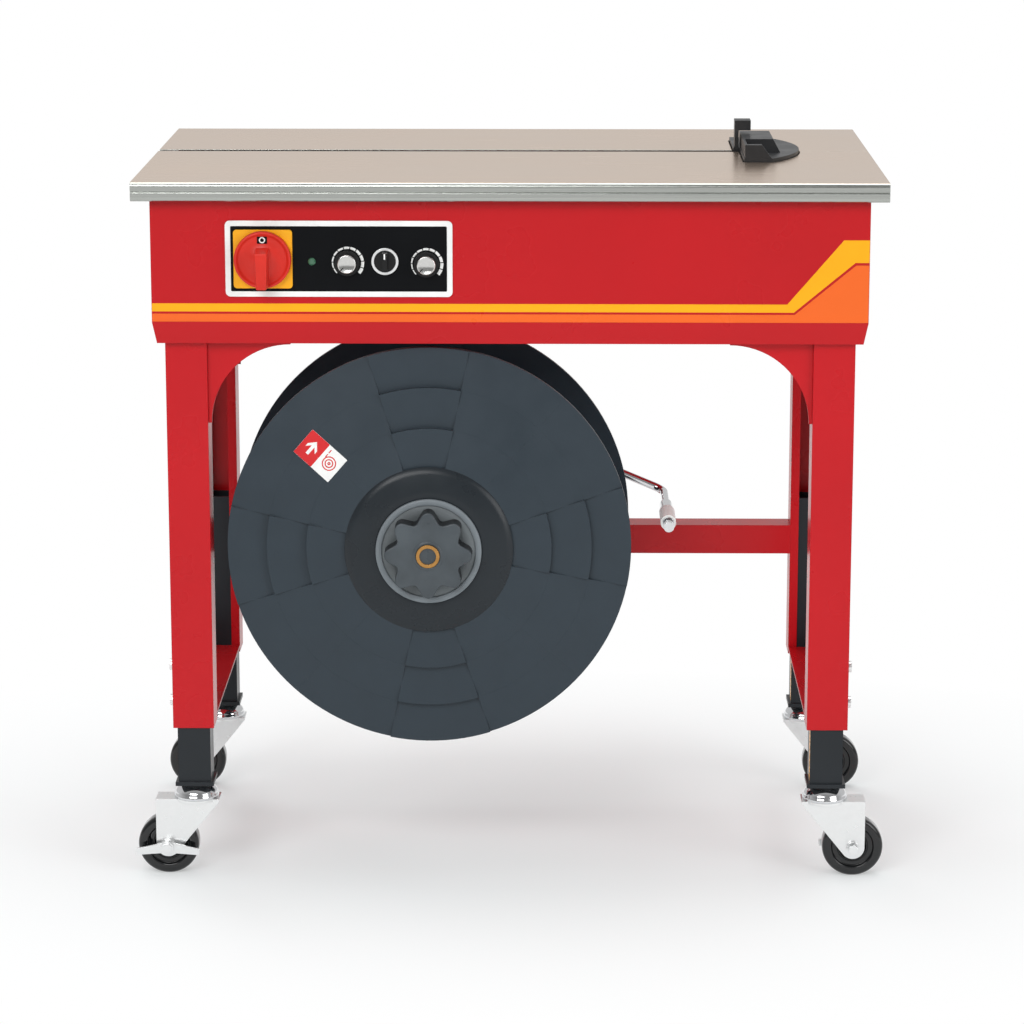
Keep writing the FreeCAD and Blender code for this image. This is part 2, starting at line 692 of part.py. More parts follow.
def rear_cross_bar():
    reach = leg_x - S.leg_width / 2
    wall = S.bar_sheet
    outside = box("bar_outside", (-reach, reach), (rear_leg_y, rear_leg_y + S.bar_depth),
                  (bar_bottom, bar_bottom + S.bar_height))
    inside = box("bar_inside", (-reach - S.overrun, reach + S.overrun),
                 (rear_leg_y + wall, rear_leg_y + S.bar_depth - wall),
                 (bar_bottom + wall, bar_bottom + S.bar_height - wall))
    return cut("rear_cross_bar", outside, inside)


# A castor, drawn about its kingpin with the wheel trailing towards +X
head_top = S.foot_top - S.foot_plate - S.boss_height - S.seat_gap
fork_plate_top = head_top - S.head_height
fork_plate_bottom = fork_plate_top - S.fork_plate
fork_inside = S.wheel_width / 2 + S.cheek_gap
fork_outside = fork_inside + S.cheek


def castor_fork(label, has_lever):
    """The forked housing with its swivel head, and the axle bolt through both cheeks."""
    outer = S.trail + S.cheek_round
    corner = (outer, S.wheel_radius)
    reach = S.trail + S.fork_inward
    drop = fork_plate_bottom - S.wheel_radius
    # The inner edge runs from the plate's end to touch the round at the axle
    distance = root(reach * reach + drop * drop)
    tangent = root(distance * distance - S.cheek_round * S.cheek_round)
    along = tangent * tangent / distance
    aside = tangent * S.cheek_round / distance
    touch_x = -S.fork_inward + (along * reach - aside * drop) / distance
    touch_z = fork_plate_bottom - (along * drop + aside * reach) / distance
    outline = [
        (-S.fork_inward, fork_plate_top), (-S.fork_inward, fork_plate_bottom),
        (touch_x, touch_z, S.cheek_round, "right"),
        (S.trail, S.wheel_radius - S.cheek_round, S.cheek_round, "right"),
        corner, (outer, fork_plate_top),
    ]
    cheeks = prism(label + "_cheeks", "XZ", outline, -fork_outside, 2 * fork_outside)
    between = box(label + "_between", (-S.fork_inward - S.overrun, outer + S.overrun),
                  (-fork_inside, fork_inside), (-S.overrun, fork_plate_bottom))
    race = turned(label + "_race", "Z", (0, 0, 0), [
        (fork_plate_bottom, 0), (fork_plate_bottom, S.head_radius),
        (fork_plate_top + S.head_edge, S.head_radius), (head_top, S.boss_radius),
        (head_top, 0),
    ])
    bore = rod(label + "_bore", "Z", (0, 0, fork_plate_bottom - S.overrun),
               S.kingpin_radius + S.running_gap,
               head_top - fork_plate_bottom + 2 * S.overrun)
    holes = rod(label + "_axle_holes", "Y",
                (S.trail, -fork_outside - S.overrun, S.wheel_radius),
                S.axle_radius, 2 * (fork_outside + S.overrun))
    housing = joined(label + "_housing", cut(label + "_legs", cheeks, between), race)
    fork = cut(label + "_fork", housing, bore, holes)
    far = fork_outside
    if has_lever:
        far = far + S.lever_hub_height + 2 * S.seat_gap
    shank = rod(label + "_axle", "Y", (S.trail, -fork_outside, S.wheel_radius),
                S.axle_radius, fork_outside + far)
    near_head = rod(label + "_axle_near", "Y",
                    (S.trail, -fork_outside - S.axle_head, S.wheel_radius),
                    S.axle_head_radius, S.axle_head)
    far_head = rod(label + "_axle_far", "Y", (S.trail, far, S.wheel_radius),
                   S.axle_head_radius, S.axle_head)
    return group(label, fork, joined(label + "_bolt", shank, near_head, far_head))


def castor_wheel(label):
    """A solid wheel whose sides are dished between the tread and the hub."""
    half = S.wheel_width / 2
    tread = S.wheel_radius - S.tread_thickness
    dish = half - S.wheel_recess
    bore = S.axle_radius + S.running_gap
    shoulder = S.wheel_radius - S.wheel_fillet
    return turned(label, "Y", (S.trail, 0, S.wheel_radius), [
        (-half, bore), (half, bore), (half, S.wheel_hub_radius), (dish, S.wheel_hub_radius),
        (dish, tread), (half, tread), (half, shoulder, S.wheel_fillet, "right"),
        (half - S.wheel_fillet, S.wheel_radius),
        (-half + S.wheel_fillet, S.wheel_radius, S.wheel_fillet, "right"),
        (-half, shoulder), (-half, tread), (-dish, tread), (-dish, S.wheel_hub_radius),
        (-half, S.wheel_hub_radius),
    ])


def brake_lever(label):
    """A wing lever that turns about the axle bolt and clamps the cheek beside it."""
    half, z = S.lever_span / 2, S.wheel_radius
    near = fork_outside + S.seat_gap
    outline = [
        (S.trail - half, z - S.lever_droop - S.lever_tip_height / 2),
        (S.trail, z - S.lever_root_height / 2),
        (S.trail + half, z - S.lever_droop - S.lever_tip_height / 2),
        (S.trail + half, z - S.lever_droop + S.lever_tip_height / 2),
        (S.trail, z + S.lever_root_height / 2),
        (S.trail - half, z - S.lever_droop + S.lever_tip_height / 2),
    ]
    wings = prism(label + "_wings", "XZ", outline,
                  near + S.lever_hub_height - S.lever_blade, S.lever_blade)
    hub = rod(label + "_hub", "Y", (S.trail, near, z), S.lever_hub_radius, S.lever_hub_height)
    bore = rod(label + "_bore", "Y", (S.trail, near - S.overrun, z),
               S.axle_radius + S.running_gap, S.lever_hub_height + 2 * S.overrun)
    return cut(label, joined(label + "_solid", wings, hub), bore)


def castors():
    """Each castor is swung outward, so the left ones are turned by half a turn."""
    made = []
    for corner, (hand, end) in corners.items():
        pieces = [castor_fork("castor_fork_" + corner, end == 1),
                  castor_wheel("castor_wheel_" + corner)]
        if end == 1:
            pieces.append(brake_lever("brake_lever_" + corner.split("_")[1]))
        turn = FreeCAD.Rotation() if hand == 1 else HALF_TURN
        for piece in pieces:
            place(piece, hand * leg_x, leg_middle_y(end), 0, turn=turn)
        made += pieces
    return made


# The reel, drawn about the middle of its axis
reel_y = front + S.rim_front + S.rim_spacing / 2
rim = -S.rim_spacing / 2
cone_base = rim - S.cone_rise
nose = cone_base - S.nose_rise
nut_front = nose - S.hub_rise
nut_seat = nut_front + S.nut_thickness
flange_back = cone_base + S.flange_thickness
hub_radius = S.shaft_radius + S.running_gap + S.bush_wall
star_front = nut_front - S.star_height
boss_front = star_front - S.hub_boss_height
bush_front = boss_front - S.bush_proud


def place_on_reel(piece, turn=None):
    return place(piece, reel_x, reel_y, reel_z, turn=turn)


def cone_at(radius):
    """How far forward the flange's cone stands at a radius."""
    share = (S.flange_radius - radius) / (S.flange_radius - S.cone_radius)
    return rim - S.cone_rise * share


def reel_flange(label):
    """A dished plate with four narrow terraced sectors and a well for the hub nut."""
    well = S.hub_ring_radius + S.seat_gap
    inner = [
        (nose, well), (nut_seat, well), (nut_seat, S.hub_boss_radius),
        (flange_back, S.hub_boss_radius), (flange_back, S.cone_radius),
        (rim + S.flange_thickness, S.flange_radius),
    ]
    cone = turned(label + "_cone", "Y", (0, 0, 0),
                  [(rim, S.flange_radius), (cone_base, S.cone_radius), *inner])
    rings = [S.flange_radius, S.terrace_outer, S.terrace_inner, S.cone_radius]
    steps = []
    for outer, within in zip(rings, rings[1:]):
        level = cone_at((outer + within) / 2)
        steps += [(level, outer), (level, within)]
    terraces = turned(label + "_terraces", "Y", (0, 0, 0),
                      [*steps, (cone_base, S.cone_radius), *inner])
    wedges = []
    count = 4
    for index in range(count):
        wedge = rod(f"{label}_wedge_{index}", "Y", (0, nut_front - S.overrun, 0),
                    S.flange_radius + S.overrun, -nut_front)
        bind(wedge, "Angle", S.terrace_angle)
        start = 360 / count * index - S.terrace_turn.number - S.terrace_angle.number / 2
        spin = FreeCAD.Rotation(FreeCAD.Vector(0, 0, 1), start)
        wedge.Placement.Rotation = TURN_ABOUT["Y"].multiply(spin)
        wedges.append(wedge)
    sectors = joined(label + "_sectors", *wedges)
    return joined(label, cut(label + "_wide", cone, sectors),
                  common(label + "_narrow", terraces, sectors))


def reel_drum():
    """The core that the strap is wound on: a tube, a hub and a web between them."""
    hub = turned("drum_hub", "Y", (0, 0, 0), [
        (nut_seat, hub_radius), (-nut_seat, hub_radius),
        (-nut_seat, S.hub_boss_radius), (nut_seat, S.hub_boss_radius),
    ])
    tube = turned("drum_tube", "Y", (0, 0, 0), [
        (flange_back, S.core_radius - S.core_wall), (-flange_back, S.core_radius - S.core_wall),
        (-flange_back, S.core_radius), (flange_back, S.core_radius),
    ])
    web = turned("drum_web", "Y", (0, 0, 0), [
        (-S.core_web / 2, hub_radius), (S.core_web / 2, hub_radius),
        (S.core_web / 2, S.core_radius), (-S.core_web / 2, S.core_radius),
    ])
    return joined("reel_drum", hub, tube, web)


def hub_nut():
    """The hand nut that holds the front flange: a ring, a sunk floor and a star grip."""
    disc = rod("nut_disc", "Y", (0, nut_front, 0), S.hub_ring_radius, S.nut_thickness)
    floor = rod("nut_floor", "Y", (0, nut_front - S.overrun, 0), S.hub_land_radius,
                S.hub_land + S.overrun)
    depth = S.star_height + S.hub_land + S.overrun
    grip = [rod("star_middle", "Y", (0, star_front, 0), S.star_valley, depth)]
    centre = S.star_tip - S.star_lobe_radius
    count = 8
    for index in range(count):
        angle = 2 * math.pi * index / count
        out = (math.sin(angle), math.cos(angle))
        x, z = centre * out[0], centre * out[1]
        side = (S.star_lobe_radius * out[1], S.star_lobe_radius * -out[0])
        grip.append(rod(f"star_lobe_{index}", "Y", (x, star_front, z),
                        S.star_lobe_radius, depth))
        grip.append(prism(f"star_arm_{index}", "XZ", [
            (x + side[0], z + side[1]), (side[0], side[1]),
            (-side[0], -side[1]), (x - side[0], z - side[1]),
        ], star_front, depth))
    boss = rod("nut_boss", "Y", (0, boss_front, 0), S.hub_boss_radius, S.nut_thickness)
    bore = rod("nut_bore", "Y", (0, boss_front - S.overrun, 0), hub_radius,
               S.star_height + S.nut_thickness + 2 * S.overrun)
    return cut("hub_nut", joined("nut_whole", cut("nut_base", disc, floor), boss, *grip), bore)


def hub_bush():
    return turned("hub_bush", "Y", (0, 0, 0), [
        (bush_front, S.shaft_radius + S.running_gap), (-nut_seat, S.shaft_radius + S.running_gap),
        (-nut_seat, hub_radius), (bush_front, hub_radius),
    ])


def reel():
    parts = [reel_flange("reel_flange_front"), reel_drum(), hub_nut(), hub_bush()]
    for piece in parts:
        place_on_reel(piece)
    rear = reel_flange("reel_flange_rear")
    place_on_reel(rear, HALF_TURN)
    return [*parts, rear]


def reel_shaft():
    start = reel_y + bush_front + S.shaft_recess
    return rod("reel_shaft", "Y", (reel_x, start, reel_z), S.shaft_radius,
               rear_leg_y - start)


arm_y = front + S.arm_plane


def reel_bracket():
    """The post that carries the reel's shaft, and the stub that the strap arm turns on."""
    half, hollow = S.post_side / 2, S.post_side / 2 - S.post_wall
    middle = rear_leg_y + half
    foot = bar_bottom + S.bar_height
    post = cut("post",
               box("post_outside", (reel_x - half, reel_x + half),
                   (middle - half, middle + half), (foot, body_bottom)),
               box("post_inside", (reel_x - hollow, reel_x + hollow),
                   (middle - hollow, middle + hollow),
                   (foot - S.overrun, body_bottom + S.overrun)))
    side = S.seat_side / 2
    seat = box("shaft_seat", (reel_x - side, reel_x + side),
               (rear_leg_y - S.seat_plate, rear_leg_y), (reel_z - side, reel_z + side))
    boss = rod("shaft_boss", "Y", (reel_x, rear_leg_y - S.seat_boss, reel_z),
               S.seat_boss, S.seat_boss)
    carrier = box("arm_carrier", (reel_x + half, arm_pivot_x + S.hanger_side / 2),
                  (rear_leg_y, rear_leg_y + S.hanger_side),
                  (arm_pivot_z - S.hanger_side / 2, arm_pivot_z + S.hanger_side / 2))
    eye = S.arm_eye_height / 2 + S.seat_gap
    pin_start = arm_y - eye - S.arm_pin_head
    at = (arm_pivot_x, pin_start, arm_pivot_z)
    pin = rod("arm_pin", "Y", at, S.arm_pin_radius, rear_leg_y - pin_start)
    pin_head = rod("arm_pin_head", "Y", at, S.arm_pin_head_radius, S.arm_pin_head)
    collar = rod("arm_pin_collar", "Y", (arm_pivot_x, arm_y + eye, arm_pivot_z),
                 S.arm_pin_head_radius, S.arm_pin_head)
    solid = joined("bracket_solid", post, seat, boss, carrier, pin, pin_head, collar)
    bore = rod("shaft_seat_bore", "Y",
               (reel_x, rear_leg_y - S.seat_boss - S.overrun, reel_z),
               S.shaft_radius, S.seat_boss + S.overrun)
    return cut("reel_bracket", solid, bore)


def strap_arm():
    """A bent rod that swings behind the reel and carries the strap's guide roller."""
    reach, bend, radius = arm_reach, S.arm_bend, S.arm_rod_radius
    eye = rod("arm_eye", "Y", (0, -S.arm_eye_height / 2, 0), S.arm_eye_radius,
              S.arm_eye_height)
    swing = rod("arm_swing", "X", (0, 0, 0), radius, reach - bend)
    elbow = add("Part::Torus", "arm_elbow")
    bind(elbow, "Radius1", bend)
    bind(elbow, "Radius2", radius)
    elbow.Angle3 = 90
    place(elbow, reach - bend, -bend, 0)
    tip = S.arm_end - S.arm_plane
    forward = rod("arm_forward", "Y", (reach, tip, 0), radius, -bend - tip)
    nut = rod("arm_nut", "Y", (reach, tip, 0), S.arm_nut_radius, S.arm_nut_height)
    roller_front = S.roller_start - S.arm_plane
    stop = rod("arm_stop", "Y",
               (reach, roller_front - S.roller_end_gap - S.arm_nut_radius, 0),
               S.sleeve_radius, S.arm_nut_radius)
    bore = rod("arm_bore", "Y", (0, -S.arm_eye_height, 0), S.arm_pin_radius + S.running_gap,
               2 * S.arm_eye_height)
    bent = cut("arm_rod", joined("arm_solid", eye, swing, elbow, forward, nut, stop), bore)
    sleeve_start = roller_front + S.roller_length + S.roller_end_gap
    sleeve = turned("arm_sleeve", "Y", (reach, sleeve_start, 0), [
        (0, radius), (S.sleeve_length, radius), (S.sleeve_length, S.sleeve_radius),
        (0, S.sleeve_radius),
    ])
    arm = group("strap_arm", bent, sleeve)
    roller = turned("guide_roller", "Y", (reach, roller_front, 0), [
        (0, radius + S.running_gap), (S.roller_length, radius + S.running_gap),
        (S.roller_length, S.roller_radius), (0, S.roller_radius),
    ])
    slope = FreeCAD.Rotation(FreeCAD.Vector(0, 1, 0), S.arm_slope.number)
    for piece in (arm, roller):
        place(piece, arm_pivot_x, arm_y, arm_pivot_z, turn=slope)
    return [arm, roller]


def turned_knob(label, x, z, profile):
    """A round control with its spindle, from the control plate's face."""
    back = [(0, S.spindle_radius), (S.spindle_length, S.spindle_radius),
            (S.spindle_length, 0)]
    return turned(label, "Y", (x, panel_front - S.seat_gap, z), [*profile, *back])


def setting_knob(label, x, z):
    height = S.knob_skirt + S.knob_cap
    return turned_knob(label, x, z, [
        (-height, 0), (-height, S.knob_cap_radius - S.knob_edge),
        (-height + S.knob_edge, S.knob_cap_radius), (-S.knob_skirt, S.knob_cap_radius),
        (-S.knob_skirt, S.knob_skirt_radius), (0, S.knob_skirt_radius),
    ])


def main_switch_handle():
    """A round plate with a bar grip that points down when the machine is on."""
    switch_face = panel_front - S.switch_plate
    disc = turned("switch_disc", "Y", (switch_x, switch_face - S.seat_gap, panel_z), [
        (-S.switch_disc, 0), (-S.switch_disc, S.switch_disc_radius - S.knob_edge),
        (S.knob_edge - S.switch_disc, S.switch_disc_radius), (0, S.switch_disc_radius),
        (0, S.spindle_radius), (S.spindle_length, S.spindle_radius), (S.spindle_length, 0),
    ])
    half = S.handle_width / 2
    grip_back = switch_face - S.seat_gap - S.switch_disc
    grip = box("switch_grip", (switch_x - half, switch_x + half),
               (front + handle_front, grip_back),
               (panel_z - S.handle_reach, panel_z + S.handle_back))
    return joined("main_switch_handle", disc, grip)


def selector():
    bezel_inside = S.bezel_radius - S.bezel_wall
    bezel = turned("selector_bezel", "Y", (selector_x, panel_front, selector_z), [
        (-S.bezel_height, bezel_inside), (0, bezel_inside),
        (0, S.bezel_radius), (-S.bezel_height, S.bezel_radius),
    ])
    disc_radius = bezel_inside - S.seat_gap
    disc = turned_knob("selector_disc_turned", selector_x, selector_z, [
        (-S.selector_disc, 0), (-S.selector_disc, disc_radius), (0, disc_radius),
    ])
    grip_back = panel_front - S.seat_gap - S.selector_disc
    half = S.selector_grip_width / 2
    reach = disc_radius - S.knob_edge
    grip = box("selector_grip_bar", (selector_x - half, selector_x + half),
               (grip_back - S.selector_grip, grip_back),
               (selector_z - reach, selector_z + reach))
    return [bezel, joined("selector_handle", disc, grip)]


def indicator_lamp():
    """A small domed lens with its stem through the plate."""
    return turned("indicator_lamp", "Y", (lamp_x, panel_front, lamp_z), [
        (-S.lamp_height, 0), (-S.lamp_height, S.lamp_radius - S.knob_edge),
        (S.knob_edge - S.lamp_height, S.lamp_radius), (0, S.lamp_radius),
        (0, S.spindle_radius), (S.spindle_length, S.spindle_radius), (S.spindle_length, 0),
    ])


def control_panel():
    plate = rounded_plate("control_plate_blank", panel_x, panel_z, S.panel_width,
                          S.panel_height, S.panel_corner, panel_front, S.panel_plate)
    control_plate = cut("control_plate", plate,
                        *control_holes("plate_hole", panel_front, S.panel_plate))
    switch_front = panel_front - S.switch_plate
    blank = rounded_plate("switch_plate_blank", switch_x, panel_z, S.switch_side,
                          S.switch_side, S.switch_corner, switch_front, S.switch_plate)
    hole = rod("switch_plate_hole", "Y", (switch_x, switch_front - S.overrun, panel_z),
               S.spindle_radius + S.hole_gap, S.switch_plate + 2 * S.overrun)
    return [control_plate, cut("switch_plate", blank, hole), main_switch_handle(),
            indicator_lamp(), *selector(),
            setting_knob("heat_knob", heat_knob_x, heat_knob_z),
            setting_knob("tension_knob", tension_knob_x, tension_knob_z)]


guide_top = table_top + S.guide_proud
head_top_z = table_top - S.guide_below


def strap_guide():
    """The guide at the slot's end, which leads the strap's tip into the head."""
    base = prism("guide_base", "XY", guide_outline(0), head_top_z,
                 S.guide_below + S.guide_proud)
    left = guide_left + S.block_inset
    near_start = slot_y - S.guide_half
    far_start = near_start + S.rear_block_start
    far_end = far_start + S.rear_block_depth
    block_top = guide_top + S.block_height

    def sloped_block(label, right, top_right, start, end):
        outline = [(left, guide_top), (right, guide_top), (top_right, block_top),
                   (left, block_top)]
        return prism(label, "XZ", outline, start, end - start)

    near = sloped_block("guide_front_block", block_right, block_top_right, near_start,
                        near_start + S.block_depth)
    far = sloped_block("guide_rear_block", rear_block_right, rear_block_top_right,
                       far_start, far_end)
    wall = box("guide_left_wall", (left, left + S.block_wall), (near_start, far_end),
               (guide_top, block_top))
    upright_x = upright_left + S.upright_inset
    along = (slot_y, slot_y + S.upright_depth)
    upright_top = guide_top + S.upright_height
    post = box("guide_post", (upright_x, upright_x + S.upright_sheet), along,
               (guide_top, upright_top))
    bar = box("guide_bar", (upright_x, upright_x + S.upright_reach), along,
              (block_top + S.upright_over, upright_top))
    return [base, group("guide_blocks", joined("guide_cover", near, far, wall),
                        joined("guide_upright", post, bar))]


# The sealing head and its drive stand on the floor pan
floor_top = body_bottom + S.floor_sheet
head_front_y = front + S.head_front
head_rear_y = head_front_y + S.head_depth
pulley_y = head_rear_y + S.pulley_gap
pinch_x = feed_x + S.feed_radius + S.pinch_radius + S.strap_sheet
feed_y = front + S.feed_plane - S.feed_width / 2
boss_start = feed_y + S.feed_width + S.seat_gap
slide_top = head_top_z - S.slide_below_frame
slide_rods = [slide_left + S.slide_rod_inset,
              slide_left + S.slide_width - S.slide_rod_inset]
slide_rod_z = slide_top - S.slide_height / 2


def head_frame():
    """Two side plates on a base, with the bridge under the strap guide and the bosses
    of the feed shafts."""
    wall, along = S.head_wall, (head_left, head_right)
    inside = (head_front_y + wall, head_rear_y - wall)
    near = box("head_near_plate", along, (head_front_y, head_front_y + wall),
               (floor_top, head_top_z))
    far = box("head_far_plate", along, (head_rear_y - wall, head_rear_y),
              (floor_top, head_top_z))
    base = box("head_base", along, inside, (floor_top, floor_top + wall))
    bridge = box("head_bridge", (upright_left, head_right), inside,
                 (head_top_z - wall, head_top_z))
    rods = [rod(f"head_rod_{index}", "Y", (x, inside[0], slide_rod_z), S.slide_rod_radius,
                inside[1] - inside[0]) for index, x in enumerate(slide_rods)]
    rods.append(rod("heater_pin", "Y", (heater_x, inside[0], heater_z),
                    S.slide_rod_radius, inside[1] - inside[0]))
    bosses = [rod(f"feed_boss_{index}", "Y", (x, boss_start, feed_z), S.feed_boss_radius,
                  head_front_y - boss_start)
              for index, x in enumerate((feed_x, pinch_x))]
    solid = joined("head_solid", near, far, base, bridge, *rods, *bosses)
    cam_bore = rod("cam_bore", "Y", (cam_x, head_front_y - S.overrun, cam_z),
                   S.cam_shaft_radius + S.running_gap, S.head_depth + 2 * S.overrun)
    feed_bores = [rod(f"feed_bore_{index}", "Y", (x, boss_start - S.overrun, feed_z),
                      S.feed_shaft_radius + S.running_gap,
                      head_front_y + wall - boss_start + 2 * S.overrun)
                  for index, x in enumerate((feed_x, pinch_x))]
    return cut("head_frame", solid, cam_bore, *feed_bores)


def camshaft():
    """The shaft that works the head: three cams and the driven pulley."""
    start = head_front_y - S.overrun
    shaft = rod("cam_spindle", "Y", (cam_x, start, cam_z), S.cam_shaft_radius,
                pulley_y + S.pulley_width - start)
    parts = [shaft]
    cams = 3
    for index in range(cams):
        angle = 2 * math.pi * index / cams
        y = head_front_y + S.head_wall + S.cam_first + S.cam_pitch * index
        at = (cam_x + S.cam_offset * math.cos(angle), y,
              cam_z + S.cam_offset * math.sin(angle))
        parts.append(rod(f"cam_{index}", "Y", at, S.cam_radius, S.cam_width))
    parts.append(rod("cam_pulley", "Y", (cam_x, pulley_y, cam_z), S.cam_pulley_radius,
                     S.pulley_width))
    return joined("camshaft", *parts)


motor_z = floor_top + S.motor_above_floor
motor_end_y = front + S.motor_front + S.motor_length


def drive_motor():
    at = (motor_x, front + S.motor_front, motor_z)
    can = rod("motor_can", "Y", at, S.motor_radius, S.motor_length)
    foot = box("motor_foot_block",
               (motor_x - S.motor_foot_width / 2, motor_x + S.motor_foot_width / 2),
               (at[1] + S.motor_foot, motor_end_y - S.motor_foot), (floor_top, motor_z))
    bore = rod("motor_bore", "Y", (motor_x, motor_end_y - S.motor_shaft_depth, motor_z),
               S.motor_shaft_radius + S.running_gap, S.motor_shaft_depth + S.overrun)
    return cut("drive_motor", joined("motor_solid", can, foot), bore)


def motor_pulley():
    start = motor_end_y - S.motor_shaft_depth + S.seat_gap
    shaft = rod("motor_shaft", "Y", (motor_x, start, motor_z), S.motor_shaft_radius,
                pulley_y + S.pulley_width - start)
    disc = rod("motor_pulley_disc", "Y", (motor_x, pulley_y, motor_z),
               S.motor_pulley_radius, S.pulley_width)
    return joined("motor_pulley", shaft, disc)


def drive_belt():
    """An open belt round both pulleys, drawn from the cam pulley towards the motor."""
    run = cam_x - motor_x
    fall = cam_z - motor_z
    length = root(run * run + fall * fall)
    lean = (S.cam_pulley_radius - S.motor_pulley_radius) / length
    upright = root(1 - lean * lean)

    def loop(extra):
        big, small = S.cam_pulley_radius + extra, S.motor_pulley_radius + extra
        return [
            (length + small * lean, small * upright), (big * lean, big * upright, big, "right"),
            (-big, 0, big, "right"), (big * lean, -(big * upright)),
            (length + small * lean, -(small * upright), small, "right"),
            (length + small, 0, small, "right"),
        ]
    outside = prism("belt_outside", "XZ", loop(S.belt_gap + S.belt_thickness), 0,
                    S.pulley_width)
    inside = prism("belt_inside", "XZ", loop(S.belt_gap), -S.overrun,
                   S.pulley_width + 2 * S.overrun)
    belt = cut("drive_belt", outside, inside)
    angle = math.degrees(math.atan2(-fall.number, -run.number))
    return place(belt, cam_x, pulley_y, cam_z,
                 turn=FreeCAD.Rotation(FreeCAD.Vector(0, 1, 0), -angle))


def feed_rollers():
    """The driven feed roller and the roller that pinches the strap against it."""
    made = []
    end = head_front_y + S.head_wall
    for label, x, radius in (("feed_roller", feed_x, S.feed_radius),
                             ("pinch_roller", pinch_x, S.pinch_radius)):
        disc = rod(label + "_disc", "Y", (x, feed_y, feed_z), radius, S.feed_width)
        shaft = rod(label + "_shaft", "Y", (x, feed_y, feed_z), S.feed_shaft_radius,
                    end - feed_y)
        made.append(joined(label, disc, shaft))
    return made


def slide_table():
    """The small plate above the weld, which draws back to let the strap go."""
    y = front + S.slide_front
    block = box("slide_block", (slide_left, slide_left + S.slide_width),
                (y, y + S.slide_depth), (slide_top - S.slide_height, slide_top))
    bores = [rod(f"slide_bore_{index}", "Y", (x, y - S.overrun, slide_rod_z),
                 S.slide_rod_radius + S.running_gap, S.slide_depth + 2 * S.overrun)
             for index, x in enumerate(slide_rods)]
    return cut("slide_table", block, *bores)


def heater_blade():
    """The hot blade on its arm, which swings in between the two strap ends."""
    half, y = S.heater_width / 2, front + S.heater_front
    arm = box("heater_arm", (heater_x - half, heater_x + half), (y, y + S.heater_sheet),
              (heater_z - half, heater_z + S.heater_height))
    bore = rod("heater_bore", "Y", (heater_x, y - S.overrun, heater_z),
               S.slide_rod_radius + S.running_gap, S.heater_sheet + 2 * S.overrun)
    return cut("heater_blade", arm, bore)


def heater_transformer():
    x, y = transformer_left, front + S.transformer_front
    side, height = S.transformer_side, S.transformer_height
    middle = (height - S.transformer_core) / 2
    core = box("transformer_stack", (x, x + side), (y, y + side),
               (floor_top + middle, floor_top + middle + S.transformer_core))
    coil = box("transformer_coil",
               (x + S.transformer_core / 2, x + side - S.transformer_core / 2),
               (y + S.transformer_core / 2, y + side - S.transformer_core / 2),
               (floor_top, floor_top + height))
    return joined("heater_transformer", core, coil)


def control_board():
    """The circuit board on four standoffs, with the motor's capacitor beside them."""
    x, y = board_left, rear_wall - S.board_from_rear - S.board_depth
    under = floor_top + S.standoff_height
    board = box("board_sheet_plate", (x, x + S.board_width), (y, y + S.board_depth),
                (under, under + S.board_sheet))
    inset = S.standoff_inset
    posts = [rod(f"standoff_{i}_{j}", "Z", (px, py, floor_top), S.standoff_radius,
                 S.standoff_height)
             for i, px in enumerate((x + inset, x + S.board_width - inset))
             for j, py in enumerate((y + inset, y + S.board_depth - inset))]
    capacitor = rod("motor_capacitor", "Z",
                    (x + S.board_width / 2, y + S.board_depth / 2, under + S.board_sheet),
                    S.capacitor_radius, S.capacitor_height)
    return group("control_board", joined("board", board, *posts), capacitor)


nodes = [table_plate("table_front_plate", 1), table_plate("table_rear_plate", -1), hinges(),
         *body_panels(), floor_pan()]
for corner, (hand, end) in corners.items():
    nodes.append(leg("leg_" + corner, hand, end))
    nodes.append(inner_leg("inner_leg_" + corner, hand, end))
nodes += [leg_bolts(), gussets(), side_rails(), rear_cross_bar(), *castors()]
nodes += [*reel(), reel_shaft(), reel_bracket(), *strap_arm()]
nodes += [*control_panel(), *strap_guide()]
nodes += [head_frame(), camshaft(), drive_motor(), motor_pulley(), drive_belt(),
          *feed_rollers(), slide_table(), heater_blade(), heater_transformer(),
          control_board()]

doc.recompute()
faulty = [item.Label for item in doc.Objects
          if "Invalid" in item.State or "Error" in item.State]
if faulty:
    raise SystemExit("these did not build: " + ", ".join(faulty))
for node in nodes:
    if node.Shape.isNull() or not node.Shape.isValid():
        raise SystemExit(node.Label + " has no valid shape")
    node.Shape.exportStep(f"parts/{node.Label}.step")
print(len(nodes), "nodes written")
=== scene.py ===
import math

import bmesh
import bpy
from mathutils import Matrix, Vector


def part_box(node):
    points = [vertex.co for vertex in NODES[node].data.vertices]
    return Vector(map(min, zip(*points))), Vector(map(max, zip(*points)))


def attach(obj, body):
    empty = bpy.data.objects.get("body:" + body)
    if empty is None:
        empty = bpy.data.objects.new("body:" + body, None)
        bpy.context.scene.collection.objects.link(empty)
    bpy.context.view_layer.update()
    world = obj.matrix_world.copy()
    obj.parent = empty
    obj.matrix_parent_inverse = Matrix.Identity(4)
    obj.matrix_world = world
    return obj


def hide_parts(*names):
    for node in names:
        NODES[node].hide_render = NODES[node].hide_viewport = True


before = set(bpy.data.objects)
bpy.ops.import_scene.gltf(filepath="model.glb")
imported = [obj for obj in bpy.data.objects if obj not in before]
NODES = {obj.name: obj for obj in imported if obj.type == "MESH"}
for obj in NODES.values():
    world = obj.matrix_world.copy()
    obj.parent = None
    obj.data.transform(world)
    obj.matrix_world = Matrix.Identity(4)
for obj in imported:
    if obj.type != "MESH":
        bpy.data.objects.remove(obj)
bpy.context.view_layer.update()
MM = 0.001


# Node helpers

